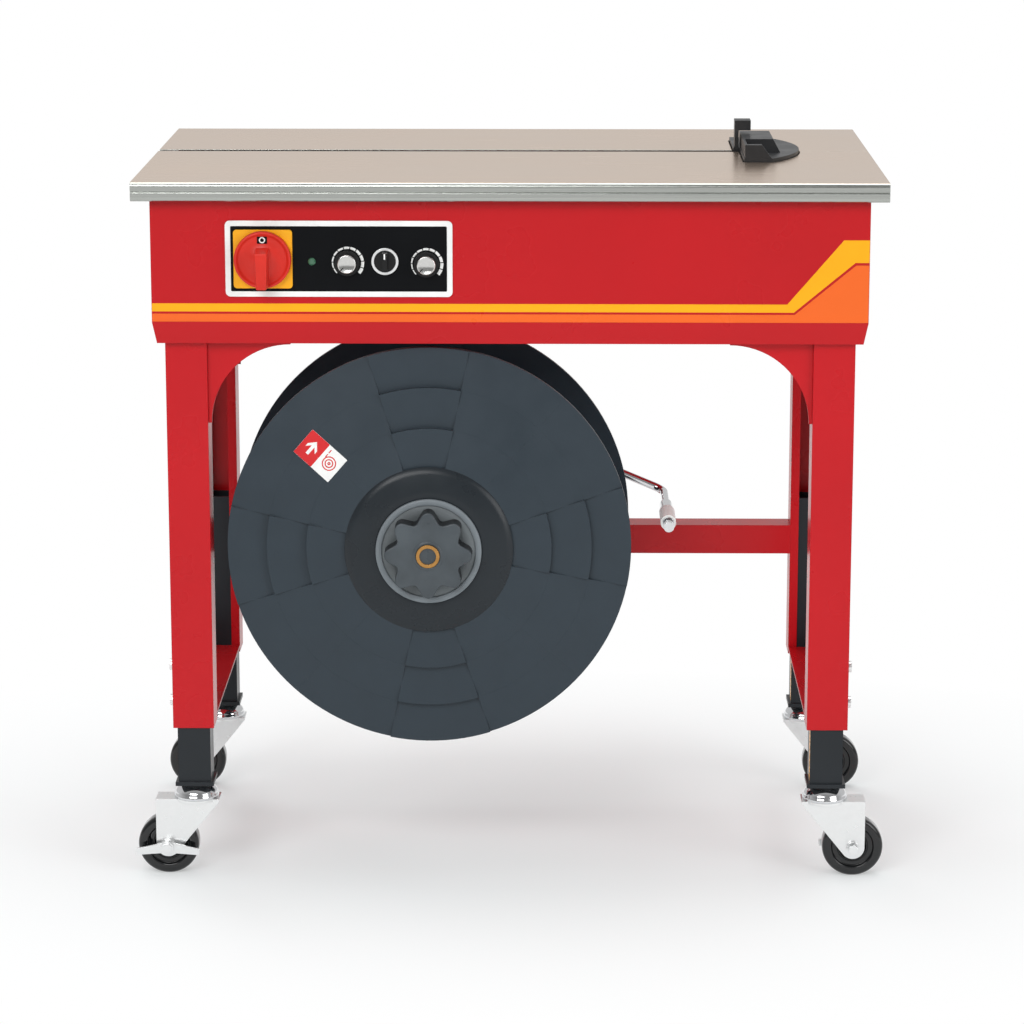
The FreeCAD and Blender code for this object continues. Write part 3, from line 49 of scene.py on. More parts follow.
def linear(red, green, blue):
    """A colour picked as it looks on screen, 0 to 255, as the shader wants it."""
    out = []
    for value in (red, green, blue):
        c = value / 255
        out.append(c / 12.92 if c <= 0.04045 else ((c + 0.055) / 1.055) ** 2.4)
    return (*out, 1.0)


def new_material(name):
    material = bpy.data.materials.new(name)
    material.use_nodes = True
    tree = material.node_tree
    return material, tree, tree.nodes["Principled BSDF"]


def set_input(material, name, value):
    material.node_tree.nodes["Principled BSDF"].inputs[name].default_value = value


def node(tree, kind, inputs=None, **settings):
    made = tree.nodes.new(kind)
    for key, value in settings.items():
        setattr(made, key, value)
    for key, value in (inputs or {}).items():
        made.inputs[key].default_value = value
    return made


def stretched_noise(tree, stretch, scale, detail=4.0, roughness=0.55):
    """Noise in the piece's own coordinates, stretched along the axes."""
    place = node(tree, "ShaderNodeTexCoord")
    mapping = node(tree, "ShaderNodeMapping", {"Scale": stretch})
    noise = node(tree, "ShaderNodeTexNoise", {"Scale": scale, "Detail": detail,
                                              "Roughness": roughness})
    tree.links.new(place.outputs["Object"], mapping.inputs["Vector"])
    tree.links.new(mapping.outputs["Vector"], noise.inputs["Vector"])
    return noise.outputs["Fac"]


def ramp(tree, source, low, high, start=0.3, end=0.7):
    """Spreads a 0 to 1 value between two numbers or two colours."""
    made = node(tree, "ShaderNodeMapRange", {"From Min": start, "From Max": end,
                                             "To Min": low, "To Max": high})
    tree.links.new(source, made.inputs["Value"])
    return made.outputs["Result"]


def tint(tree, source, dark, light, start=0.3, end=0.7):
    fac = ramp(tree, source, 0.0, 1.0, start, end)
    mix = node(tree, "ShaderNodeMix", data_type="RGBA")
    mix.inputs[6].default_value = dark
    mix.inputs[7].default_value = light
    tree.links.new(fac, mix.inputs["Factor"])
    return mix.outputs[2]


def bumped(tree, shader, height, distance, strength=1.0, edge=0.0):
    """Relief from a height value, over edges that are rounded by the bevel."""
    bump = node(tree, "ShaderNodeBump", {"Strength": strength, "Distance": distance})
    tree.links.new(height, bump.inputs["Height"])
    if edge:
        bevel = node(tree, "ShaderNodeBevel", {"Radius": edge}, samples=4)
        tree.links.new(bevel.outputs["Normal"], bump.inputs["Normal"])
    tree.links.new(bump.outputs["Normal"], shader.inputs["Normal"])


# Materials

def paint(name, colour, shade=0.86, roughness=(0.26, 0.31), edge=0.0012):
    """Powder coat: orange-peel relief, slow colour drift, slightly uneven gloss."""
    material, tree, shader = new_material(name)
    drift = stretched_noise(tree, (1, 1, 1), 5.0, 3.0)
    dark = tuple(c * shade for c in colour[:3]) + (1.0,)
    tree.links.new(tint(tree, drift, dark, colour), shader.inputs["Base Color"])
    smear = stretched_noise(tree, (1, 1, 1), 14.0, 3.0)
    tree.links.new(ramp(tree, smear, *roughness), shader.inputs["Roughness"])
    peel = stretched_noise(tree, (1, 1, 1), 900.0, 2.0)
    bumped(tree, shader, peel, 0.00006, 0.3, edge)
    shader.inputs["Specular IOR Level"].default_value = 0.22
    shader.inputs["Coat Weight"].default_value = 0.08
    shader.inputs["Coat Roughness"].default_value = 0.1
    return material


def brushed(name, colour, along=(1, 240, 240), roughness=(0.22, 0.3), shade=0.93,
            edge=0.001, bump=0.00002, metallic=1.0):
    """Metal with fine lines along one axis."""
    material, tree, shader = new_material(name)
    lines = stretched_noise(tree, along, 6.0, 5.0, 0.65)
    cloud = stretched_noise(tree, (1, 1, 1), 3.5, 3.0)
    dark = tuple(c * shade for c in colour[:3]) + (1.0,)
    tree.links.new(tint(tree, lines, dark, colour, 0.25, 0.75), shader.inputs["Base Color"])
    both = node(tree, "ShaderNodeMath", operation="MULTIPLY_ADD")
    both.inputs[1].default_value = 0.5
    tree.links.new(lines, both.inputs[0])
    half = ramp(tree, cloud, 0.0, 0.5, 0.2, 0.8)
    tree.links.new(half, both.inputs[2])
    tree.links.new(ramp(tree, both.outputs[0], *roughness, 0.2, 0.8), shader.inputs["Roughness"])
    shader.inputs["Metallic"].default_value = metallic
    bumped(tree, shader, lines, bump, 0.5, edge)
    return material


def plated(name, colour, roughness=(0.1, 0.28), shade=0.8, scale=160.0, edge=0.0006):
    """Zinc or chrome plating with faint mottling."""
    material, tree, shader = new_material(name)
    mottle = stretched_noise(tree, (1, 1, 1), scale, 5.0)
    dark = tuple(c * shade for c in colour[:3]) + (1.0,)
    tree.links.new(tint(tree, mottle, dark, colour), shader.inputs["Base Color"])
    tree.links.new(ramp(tree, mottle, *roughness), shader.inputs["Roughness"])
    shader.inputs["Metallic"].default_value = 1.0
    bumped(tree, shader, mottle, 0.00004, 0.4, edge)
    return material


def plastic(name, colour, roughness=(0.25, 0.4), grain=1400.0, relief=0.00005,
            shade=0.82, edge=0.0005, coat=0.0):
    """Moulded plastic with a fine grain and handling marks."""
    material, tree, shader = new_material(name)
    marks = stretched_noise(tree, (1, 1, 1), 22.0, 5.0)
    dark = tuple(c * shade for c in colour[:3]) + (1.0,)
    tree.links.new(tint(tree, marks, dark, colour), shader.inputs["Base Color"])
    tree.links.new(ramp(tree, marks, *roughness), shader.inputs["Roughness"])
    fine = stretched_noise(tree, (1, 1, 1), grain, 2.0)
    bumped(tree, shader, fine, relief, 0.5, edge)
    shader.inputs["Specular IOR Level"].default_value = 0.3
    shader.inputs["Coat Weight"].default_value = coat
    return material


RED = paint("red_paint", linear(188, 17, 25), 0.93)
LEG_RED = paint("red_paint_frame", linear(192, 19, 28), 0.93)
STAINLESS = brushed("stainless", linear(236, 213, 192))
# Darker, greyer copy of the stainless: a painted reflection for faces that do not look up
STEEL_PAINTED_REFLECTION = brushed("stainless_painted_reflection", linear(188, 191, 186), (1, 240, 240), (0.2, 0.28), 0.8)
HIDDEN_STEEL = brushed("ground_steel", linear(190, 188, 184), (90, 1, 90))
ZINC = plated("zinc_plate", linear(244, 245, 245), (0.26, 0.4), 0.95, 90.0)
CHROME = plated("chrome", linear(225, 226, 228), (0.06, 0.16), 0.9)
BLACK_PAINT = paint("black_paint", linear(38, 42, 46), 0.8, (0.3, 0.42))
WHEEL = plastic("wheel_black", linear(16, 17, 19), (0.12, 0.24), 500.0, 0.00003, 0.7, 0.0008, 0.6)
REEL = plastic("reel_plastic", linear(47, 57, 65), (0.34, 0.46), 1100.0, 0.00008, 0.9, 0.0008)
REEL_DARK = plastic("reel_cone", linear(33, 39, 44), (0.24, 0.34), 1100.0, 0.00005, 0.88)
HUB = plastic("hub_plastic", linear(120, 124, 125), (0.28, 0.42), 1200.0, 0.00006, 0.9)
BRASS = plated("brass", linear(196, 146, 84), (0.18, 0.34), 0.75)
WHITE = plastic("white_plastic", linear(245, 245, 243), (0.25, 0.38))
PANEL = plastic("panel_print", linear(9, 11, 14), (0.35, 0.5))
set_input(PANEL, "Specular IOR Level", 0.1)
YELLOW = plastic("yellow_plastic", linear(252, 178, 26), (0.3, 0.42))
SWITCH_RED = plastic("red_plastic", linear(214, 46, 34), (0.26, 0.38))
LAMP = plastic("lamp_green", linear(62, 112, 84), (0.1, 0.2), 300.0, 0.00008, 0.6, 0.0002, 0.8)
KNOB = plastic("knob_black", linear(20, 20, 21), (0.24, 0.4))
GUIDE = plastic("guide_black", linear(40, 41, 43), (0.3, 0.45))
CAST = paint("cast_grey", linear(120, 124, 126), 0.8, (0.4, 0.55))
RUBBER = plastic("belt_rubber", linear(26, 26, 27), (0.6, 0.75), 900.0, 0.0001)
BOARD = plastic("board_green", linear(40, 96, 62), (0.35, 0.5))


def dress(material, *names):
    """Gives CAD nodes their finish."""
    for name in names:
        mesh = NODES[name].data
        mesh.materials.clear()
        mesh.materials.append(material)


CORNERS = ("front_left", "front_right", "rear_left", "rear_right")
FACING_UP = 0.9
dress(RED, "front_panel", "rear_panel", "side_panel_left", "side_panel_right", "floor_pan")
dress(LEG_RED, *("leg_" + c for c in CORNERS), "leg_gussets", "side_rails",
      "rear_cross_bar", "reel_bracket")
dress(STAINLESS, "table_front_plate", "table_rear_plate")
for plate in ("table_front_plate", "table_rear_plate"):
    # The rolled edge and the skirt get a darker, greyer copy of the steel: a painted reflection of
    # the darker room in front
    folded = NODES[plate].data
    folded.materials.append(STEEL_PAINTED_REFLECTION)
    for face in folded.polygons:
        if face.normal.z < FACING_UP:
            face.material_index = 1
dress(HIDDEN_STEEL, "slide_table", "camshaft", "heater_blade")
dress(ZINC, "table_hinges", "leg_bolts", *("castor_fork_" + c for c in CORNERS),
      "brake_lever_left", "brake_lever_right", "reel_shaft", "selector_bezel")
dress(CHROME, "strap_arm")
dress(BLACK_PAINT, *("inner_leg_" + c for c in CORNERS))
dress(WHEEL, *("castor_wheel_" + c for c in CORNERS))
dress(REEL, "reel_flange_front", "reel_flange_rear", "reel_drum")
dress(HUB, "hub_nut")
dress(BRASS, "hub_bush")
dress(WHITE, "guide_roller", "control_plate")
dress(YELLOW, "switch_plate")
dress(SWITCH_RED, "main_switch_handle")
dress(LAMP, "indicator_lamp")
dress(KNOB, "selector_handle", "heat_knob", "tension_knob")
dress(GUIDE, "guide_base", "guide_blocks")
dress(CAST, "head_frame", "drive_motor", "motor_pulley", "feed_roller", "heater_transformer")
dress(RUBBER, "drive_belt", "pinch_roller")
dress(BOARD, "control_board")

# Camera at the photograph's viewing angle

CAMERA_PLACE = (0.0573, -4.460, 1.407)
CAMERA_TILT = 0.2200
CAMERA_TURN = 0.0130
camera_data = bpy.data.cameras.new("camera")
camera_data.lens = 125.7
camera_data.sensor_width = 36
camera_data.clip_end = 60
camera = bpy.data.objects.new("camera", camera_data)
bpy.context.scene.collection.objects.link(camera)
camera.location = CAMERA_PLACE
camera.rotation_euler = (math.pi / 2 - CAMERA_TILT, 0, CAMERA_TURN)
bpy.context.scene.camera = camera

# Floor, world and lamps

FLOOR_HALF = 14
floor_mesh = bpy.data.meshes.new("floor")
floor_mesh.from_pydata([(-FLOOR_HALF, -FLOOR_HALF, 0), (FLOOR_HALF, -FLOOR_HALF, 0),
                        (FLOOR_HALF, FLOOR_HALF, 0), (-FLOOR_HALF, FLOOR_HALF, 0)],
                       [], [(0, 1, 2, 3)])
floor = bpy.data.objects.new("floor", floor_mesh)
bpy.context.scene.collection.objects.link(floor)


def white_floor():
    """White far out for the camera, plain pale near the object, where it takes the shadow."""
    material, tree, shader = new_material("floor")
    shader.inputs["Base Color"].default_value = (0.87, 0.91, 0.915, 1)
    shader.inputs["Roughness"].default_value = 0.7
    shader.inputs["Specular IOR Level"].default_value = 0.0
    place = node(tree, "ShaderNodeTexCoord")
    oval = node(tree, "ShaderNodeVectorMath", operation="MULTIPLY")
    oval.inputs[1].default_value = (0.55, 1, 1)
    tree.links.new(place.outputs["Object"], oval.inputs[0])
    length = node(tree, "ShaderNodeVectorMath", operation="LENGTH")
    tree.links.new(oval.outputs["Vector"], length.inputs[0])
    far = ramp(tree, length.outputs["Value"], 0.3, 1.0, 0.28, 0.75)
    path = node(tree, "ShaderNodeLightPath")
    seen = node(tree, "ShaderNodeMath", operation="MAXIMUM")
    tree.links.new(path.outputs["Is Camera Ray"], seen.inputs[0])
    tree.links.new(path.outputs["Is Glossy Ray"], seen.inputs[1])
    both = node(tree, "ShaderNodeMath", operation="MULTIPLY")
    tree.links.new(far, both.inputs[0])
    tree.links.new(seen.outputs[0], both.inputs[1])
    glow = node(tree, "ShaderNodeEmission", {"Color": (1, 1, 1, 1), "Strength": 1.0})
    mix = node(tree, "ShaderNodeMixShader")
    tree.links.new(both.outputs[0], mix.inputs[0])
    tree.links.new(shader.outputs[0], mix.inputs[1])
    tree.links.new(glow.outputs[0], mix.inputs[2])
    tree.links.new(mix.outputs[0], tree.nodes["Material Output"].inputs["Surface"])
    return material


floor.data.materials.append(white_floor())

world = bpy.data.worlds.new("studio")
bpy.context.scene.world = world
world.use_nodes = True
sky = world.node_tree
background = sky.nodes["Background"]
background.inputs["Color"].default_value = (1, 1, 1, 1)
rays = node(sky, "ShaderNodeLightPath")
direct = node(sky, "ShaderNodeMath", operation="MAXIMUM")
sky.links.new(rays.outputs["Is Camera Ray"], direct.inputs[0])
sky.links.new(rays.outputs["Is Transmission Ray"], direct.inputs[1])
level = node(sky, "ShaderNodeMapRange", {"To Min": 0.4, "To Max": 1.0})
sky.links.new(direct.outputs[0], level.inputs["Value"])
shine = node(sky, "ShaderNodeMath", operation="MULTIPLY_ADD")
sky.links.new(rays.outputs["Is Glossy Ray"], shine.inputs[0])
sky.links.new(level.outputs["Result"], shine.inputs[2])
# Reflections see a darker room in front of the machine than behind it
facing = node(sky, "ShaderNodeTexCoord")
parted = node(sky, "ShaderNodeSeparateXYZ")
sky.links.new(facing.outputs["Generated"], parted.inputs[0])
room = node(sky, "ShaderNodeMapRange", {"From Min": -0.6, "From Max": 0.2, "To Min": -0.12,
                                        "To Max": 0.24})
sky.links.new(parted.outputs["Y"], room.inputs["Value"])
sky.links.new(room.outputs["Result"], shine.inputs[1])
sky.links.new(shine.outputs[0], background.inputs["Strength"])


def softbox(name, place, target, size, power, mirrored=True):
    """A rectangular lamp that looks at a point."""
    lamp = bpy.data.lights.new(name, "AREA")
    lamp.shape = "RECTANGLE"
    lamp.size, lamp.size_y = size
    lamp.energy = power
    holder = bpy.data.objects.new(name, lamp)
    bpy.context.scene.collection.objects.link(holder)
    holder.location = place
    aim = Vector(target) - Vector(place)
    holder.rotation_mode = "QUATERNION"
    holder.rotation_quaternion = aim.to_track_quat("-Z", "Y")
    holder.visible_glossy = mirrored


softbox("key", (-1.2, -3.4, 2.6), (0, 0, 0.45), (2.4, 1.6), 74)
softbox("fill", (2.6, -2.4, 1.4), (0, 0, 0.4), (1.8, 1.8), 34)
softbox("top", (0, 0.4, 3.4), (0, 0, 0.5), (3.0, 2.2), 56)
softbox("rear", (-1.5, 3.2, 2.2), (0, 0, 0.5), (2.0, 1.6), 36, False)

bpy.context.scene.view_settings.view_transform = "Standard"

# Detailed pieces

def piece(name, bm, body, material, smooth=False):
    """A mesh object that rides on a CAD body and takes the material it is given."""
    bmesh.ops.remove_doubles(bm, verts=bm.verts, dist=1e-7)
    bmesh.ops.recalc_face_normals(bm, faces=bm.faces)
    mesh = bpy.data.meshes.new(name)
    bm.to_mesh(mesh)
    bm.free()
    mesh.materials.append(material)
    for polygon in mesh.polygons:
        polygon.use_smooth = smooth
    made = bpy.data.objects.new(name, mesh)
    bpy.context.scene.collection.objects.link(made)
    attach(made, body)
    return made


def soften(made, width, segments=3, angle=35):
    """Rounds a piece's sharp edges and shades it smooth between them."""
    bevel = made.modifiers.new("edges", "BEVEL")
    bevel.width = width * MM
    bevel.segments = segments
    bevel.limit_method = "ANGLE"
    bevel.angle_limit = math.radians(angle)
    bevel.harden_normals = True
    for polygon in made.data.polygons:
        polygon.use_smooth = True
    return made


def join_rows(bm, rows):
    """Side faces between closed rows of vertices that follow each other."""
    for low, high in zip(rows, rows[1:]):
        count = len(low)
        for i in range(count):
            j = (i + 1) % count
            bm.faces.new((low[i], low[j], high[j], high[i]))


def sheet_of(bm, outlines, put, thickness):
    """Thin flat shapes: outlines of (u, v) in mm, put in space by put(u, v, height)."""
    for outline in outlines:
        low = [bm.verts.new(put(u, v, 0)) for u, v in outline]
        high = [bm.verts.new(put(u, v, thickness)) for u, v in outline]
        bm.faces.new(high)
        join_rows(bm, [low, high])


def on_front(y):
    """Places (x, z) shapes on an upright plane that looks to the front."""
    return lambda u, v, h: Vector((u, y - h, v)) * MM


def print_on(name, outlines, put, body, material, thickness=0.2):
    """Thin prints, plates and marks that lie on a face."""
    bm = bmesh.new()
    sheet_of(bm, outlines, put, thickness)
    return piece(name, bm, body, material)


def arc(cx, cy, radius, start, end, steps):
    """Points on an arc, angles in degrees anticlockwise from +u."""
    turn = [math.radians(start + (end - start) * i / steps) for i in range(steps + 1)]
    return [(cx + radius * math.cos(t), cy + radius * math.sin(t)) for t in turn]


def band(cx, cy, inner, outer, start, end, steps=6):
    """A piece of a ring as one outline."""
    return arc(cx, cy, outer, start, end, steps) + arc(cx, cy, inner, end, start, steps)


def ring(cx, cy, inner, outer, steps=48):
    step = 360 / steps
    return [band(cx, cy, inner, outer, i * step, (i + 1) * step, 1) for i in range(steps)]


def round_box(left, low, right, high, radius, steps=5):
    return (arc(right - radius, high - radius, radius, 0, 90, steps)
            + arc(left + radius, high - radius, radius, 90, 180, steps)
            + arc(left + radius, low + radius, radius, 180, 270, steps)
            + arc(right - radius, low + radius, radius, 270, 360, steps))


def spun(name, centre, profile, body, material, steps=96):
    """A profile of (y, radius) in mm turned about an axis along Y through centre (x, z)."""
    bm = bmesh.new()
    rows = []
    for y, radius in profile:
        if radius == 0:
            rows.append([bm.verts.new(Vector((centre[0], y, centre[1])) * MM)] * steps)
            continue
        rows.append([bm.verts.new(Vector((x, y, z)) * MM) for x, z in
                     arc(*centre, radius, 0, 360, steps)[:-1]])
    for low, high in zip(rows, rows[1:]):
        for i in range(steps):
            j = (i + 1) % steps
            corners = [low[i], low[j], high[j], high[i]]
            unique = list(dict.fromkeys(corners))
            if len(unique) > 2:
                bm.faces.new(unique)
    return piece(name, bm, body, material, smooth=True)


# Stripes on the front panel, kicked up at the right end

STRIPE_YELLOW = paint("stripe_yellow", linear(252, 173, 18), 0.92)
STRIPE_ORANGE = paint("stripe_orange", linear(239, 104, 36), 0.92)
FRONT_WALL = -254
STRIPE_END = 426.5
on_panel = on_front(FRONT_WALL)
print_on("stripe_upper", [[(-STRIPE_END, 710.2), (338, 710.2), (410, 770), (STRIPE_END, 770),
                           (STRIPE_END, 797), (396, 797), (330, 720), (-STRIPE_END, 720)]],
         on_panel, "chassis", STRIPE_YELLOW, 0.15)
print_on("stripe_lower", [[(-STRIPE_END, 698), (STRIPE_END, 698), (STRIPE_END, 767), (411, 767),
                           (339, 707.6), (-STRIPE_END, 707.6)]],
         on_panel, "chassis", STRIPE_ORANGE, 0.15)

# Control plate: white border, black field, scales round the two knobs

PLATE_FRONT = -256
on_plate = on_front(PLATE_FRONT)
print_on("control_field", [round_box(-331.5, 735, -74.5, 813, 1.5)], on_plate, "chassis",
         PANEL)
HEAT, TENSION = (-193, 769.5), (-99, 768)
SCALE_PARTS = 11
SCALE_SPAN = 270
SCALE_START = 225
SCALE_GAP = 3.5


def dial_scale(name, centre):
    """White marks round a knob that grow from low to high."""
    marks = []
    step = SCALE_SPAN / SCALE_PARTS
    for i in range(SCALE_PARTS):
        start = SCALE_START - i * step
        grow = i / (SCALE_PARTS - 1)
        marks.append(band(*centre, 16.6, 17.9 + 2.6 * grow, start - step + SCALE_GAP, start, 3))
    put = on_front(PLATE_FRONT - 0.2)
    print_on(name, marks, put, "chassis", WHITE, 0.12)


dial_scale("heat_scale", HEAT)
dial_scale("tension_scale", TENSION)

SPUN = brushed("spun_aluminium", linear(214, 214, 212), (60, 60, 60), (0.16, 0.26), 0.9, 0.0003)
set_input(SPUN, "Anisotropic", 0.7)


def knob_cap(name, centre, body):
    """The silver cap of a setting knob, with its pointer line at the low end of the scale."""
    spun(name, centre, [(-262.5, 11.2), (-269.6, 11.2), (-270.7, 10.4), (-270.7, 9.6),
                        (-270.45, 9.2), (-270.45, 0)], body, SPUN)
    low = math.radians(SCALE_START)
    along = Vector((math.cos(low), math.sin(low)))
    side = Vector((-along.y, along.x)) * 0.6
    middle = Vector(centre)
    line = [middle + along * 5.5 - side, middle + along * 10.6 - side,
            middle + along * 10.6 + side, middle + along * 5.5 + side]
    print_on(name + "_pointer", [[tuple(p) for p in line]], on_front(-270.6), body, KNOB,
             0.2)


knob_cap("heat_cap", HEAT, "heat_knob")
knob_cap("tension_cap", TENSION, "tension_knob")

SELECTOR = (-148, 771.7)
print_on("selector_mark", [round_box(SELECTOR[0] - 0.9, SELECTOR[1] + 4, SELECTOR[0] + 0.9,
                                     SELECTOR[1] + 10.5, 0.4)],
         on_front(-272.3), "selector", WHITE, 0.15)

# Main switch: dished disc, grip bar, window with a ring, and the fixing screw

SWITCH = (-293, 774)
disc = spun("switch_disc", SWITCH, [
    (-239.3, 0), (-239.3, 3), (-259, 3), (-259, 33.6), (-259.4, 34), (-267.6, 34), (-268.8, 33.2),
    (-269, 32), (-268.6, 30.8), (-266.8, 29.6), (-266.2, 28), (-266, 14), (-267.2, 12.6),
    (-267.4, 0)], "main_switch", SWITCH_RED)


def switch_bar():
    """A grip bar that narrows to the front and to its lower end."""
    bm = bmesh.new()
    x, z = SWITCH
    rows = []
    for y, wide, narrow, top, low in ((-265, 8.4, 7.2, 14.5, -33), (-275, 8, 6.8, 13.5, -33),
                                      (-291, 7.3, 6, 10.5, -32.4)):
        rows.append([bm.verts.new(Vector((x + u, y, z + v)) * MM) for u, v in
                     ((-wide, top), (wide, top), (narrow, low), (-narrow, low))])
    join_rows(bm, rows)
    bm.faces.new(rows[-1])
    bm.faces.new(rows[0][::-1])
    return soften(piece("switch_bar", bm, "main_switch", SWITCH_RED), 1.3, 4)


bar = switch_bar()
for detail in (disc, bar):
    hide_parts("main_switch_handle")
print_on("switch_window", [round_box(SWITCH[0] - 6, SWITCH[1] + 19.6, SWITCH[0] + 6,
                                     SWITCH[1] + 28, 0.6)],
         on_front(-266.1), "main_switch", PANEL, 0.5)
print_on("switch_window_ring", ring(SWITCH[0], SWITCH[1] + 23.8, 2.3, 3.7, 24),
         on_front(-266.6), "main_switch", WHITE, 0.1)
spun("switch_screw", (SWITCH[0], SWITCH[1] - 1), [(-290.5, 3.4), (-290.95, 3.2), (-290.95, 1.3),
                                                  (-290.2, 0.9), (-290.2, 0)],
     "main_switch", ZINC, 24)

# Reel: dark cone round the hub, faint creases, and a winding-direction label

REEL_X, REEL_Z = -98, 419
REEL_CENTRE = (REEL_X, REEL_Z)
FLANGE_RADIUS, FLANGE_EDGE_Y = 245, -232
CONE_RISE, CONE_RUN = 21, 144
spun("reel_cone", REEL_CENTRE, [(-252.6, 102), (-253.5, 101.6), (-255.3, 93), (-257.1, 84),
                                (-258.5, 74), (-259.4, 65.4), (-259, 64.3)],
     "reel", REEL_DARK, 180)


def cone_y(radius):
    """The front flange's outer face at a radius."""
    return FLANGE_EDGE_Y - CONE_RISE * (FLANGE_RADIUS - radius) / CONE_RUN


def on_flange(angle, radius, height):
    turn = math.radians(angle)
    return Vector((REEL_X + radius * math.cos(turn), cone_y(radius) - height,
                   REEL_Z + radius * math.sin(turn))) * MM


CREASE_STEPS = 20
CREASE_WIDTH = 0.9
SPOKE_LENGTH = 40
creases = []
for quarter in range(4):
    low, high = 90 * quarter + 3 + 15.5, 90 * quarter + 3 + 74.5
    for inner in (148.5, 197):
        outer = inner + CREASE_WIDTH
        for i in range(CREASE_STEPS):
            a = low + (high - low) * i / CREASE_STEPS
            b = low + (high - low) * (i + 1) / CREASE_STEPS
            creases.append([(a, inner), (a, outer), (b, outer), (b, inner)])
    middle = (low + high) / 2
    for start in (104, 150, 199):
        end = start + SPOKE_LENGTH
        creases.append([(middle - 0.25, start), (middle - 0.2, end), (middle + 0.2, end),
                        (middle + 0.25, start)])
print_on("reel_creases", creases, on_flange, "reel", REEL, 0.07)

LABEL_RED = plastic("label_red", linear(214, 40, 44), (0.4, 0.5))
LABEL_ANGLE, LABEL_RADIUS = math.radians(139), 173


def on_label(u, v, height):
    """Label shapes: u clockwise round the reel, v outward from its centre."""
    out = Vector((math.cos(LABEL_ANGLE), 0, math.sin(LABEL_ANGLE)))
    slope = math.atan2(CONE_RISE, CONE_RUN)
    along = out * math.cos(slope) + Vector((0, math.sin(slope), 0))
    away = Vector((0, -math.cos(slope), 0)) + out * math.sin(slope)
    clockwise = Vector((math.sin(LABEL_ANGLE), 0, -math.cos(LABEL_ANGLE)))
    middle = out * LABEL_RADIUS + Vector((REEL_X, cone_y(LABEL_RADIUS), REEL_Z))
    return (middle + clockwise * u + along * v + away * (height + 0.05)) * MM


def above(put, lift):
    return lambda u, v, h: put(u, v, h + lift)


print_on("label_base", [round_box(-18, -28, 18, 28, 0.8)], on_label, "reel", WHITE,
         0.3)
print_on("label_field", [round_box(-17.9, 0, 17.9, 27.9, 0.8)], above(on_label, 0.3), "reel",
         LABEL_RED, 0.08)
print_on("label_arrow", [[(-9, 12), (3, 12), (-3, 6.5), (1.5, 6.5), (10, 14), (1.5, 21.5),
                          (-3, 21.5), (3, 16), (-9, 16)]],
         above(on_label, 0.38), "reel", WHITE, 0.06)
print_on("label_rings", [*ring(0, -14, 7.4, 8.8, 36), *ring(0, -14, 4, 5.4, 30),
                         *ring(0, -14, 0.6, 2, 16), [(3, -6.2), (8, -6.2), (8, -4.9), (3, -4.9)],
                         [(9.5, -6.2), (14.5, -6.2), (14.5, -4.9), (9.5, -4.9)]],
         above(on_label, 0.3), "reel", LABEL_RED, 0.07)

# Hub nut: ring, recessed floor, and the eight-lobed grip

LAND = plastic("hub_floor", linear(112, 118, 121), (0.3, 0.5), 700.0, 0.0001, 0.6)
GRIP = plastic("hub_grip", linear(80, 87, 92), (0.24, 0.42), 900.0, 0.00008, 0.6)
# Near-black colour for the grip's side walls: painted shade, standing for flanks that face the
# dark underside of the machine
GRIP_SIDE_SHADE = plastic("hub_grip_side_painted_shade", linear(30, 33, 36), (0.3, 0.45))
NUT_RING = plastic("hub_ring", linear(120, 127, 132), (0.3, 0.45), 900.0, 0.00006, 0.9)
nut_ring = spun("hub_ring", REEL_CENTRE, [
    (-250, 64), (-262.4, 64), (-263, 63.4), (-263, 57.4), (-262.5, 56.8), (-260.8, 56.6)],
    "reel", NUT_RING, 120)
nut_floor = spun("hub_floor", REEL_CENTRE, [
    (-260.8, 56.6), (-261.4, 55.6), (-261.5, 30), (-252, 28), (-250, 28), (-250, 64)],
    "reel", LAND, 120)


LOBES = 8
LOBE_CENTRE, LOBE_RADIUS = 44, 9
VALLEY_CENTRE, VALLEY_RADIUS = 46, 5.5
ARC_STEPS = 8


def star_outline(shrink):
    """Eight round-ended lobes that run into round valleys, as one closed line."""
    tip, valley = LOBE_RADIUS - shrink, VALLEY_RADIUS + shrink
    outward, inward = Vector((0, LOBE_CENTRE)), Vector((0, VALLEY_CENTRE))
    inward.rotate(Matrix.Rotation(math.radians(-180 / LOBES), 2))
    gap = inward - outward
    lean = math.acos((tip + valley) / gap.length)
    # Direction from the lobe's centre to the point where the flank leaves it
    leave = math.atan2(gap.y, gap.x) + lean
    half = []
    for i in range(ARC_STEPS + 1):
        angle = math.pi / 2 + (leave - math.pi / 2) * i / ARC_STEPS
        half.append(outward + Vector((math.cos(angle), math.sin(angle))) * tip)
    middle = math.radians(270 - 180 / LOBES)
    for i in range(ARC_STEPS + 1):
        angle = leave + math.pi + (middle - leave - math.pi) * i / ARC_STEPS
        half.append(inward + Vector((math.cos(angle), math.sin(angle))) * valley)
    wave = [Vector((-p.x, p.y)) for p in reversed(half[1:-1])] + half
    points = []
    for lobe in range(LOBES):
        spin = Matrix.Rotation(math.radians(-360 / LOBES * lobe), 2)
        points += [tuple(spin @ p) for p in wave]
    return points


def hub_grip(name, levels, material, tapers=()):
    """Rows of the star at (y, shrink) levels, then the front face drawn in by (scale, y)."""
    bm = bmesh.new()
    rows = []
    for y, shrink in levels:
        rows.append([bm.verts.new(Vector((REEL_X + u, y, REEL_Z + v)) * MM)
                     for u, v in star_outline(shrink)])
    for scale, y in tapers:
        rows.append([bm.verts.new(Vector((REEL_X + u * scale, y, REEL_Z + v * scale)) * MM)
                     for u, v in star_outline(levels[-1][1])])
    join_rows(bm, rows)
    if tapers:
        bm.faces.new(rows[-1])
    return piece(name, bm, "reel", material, smooth=True)


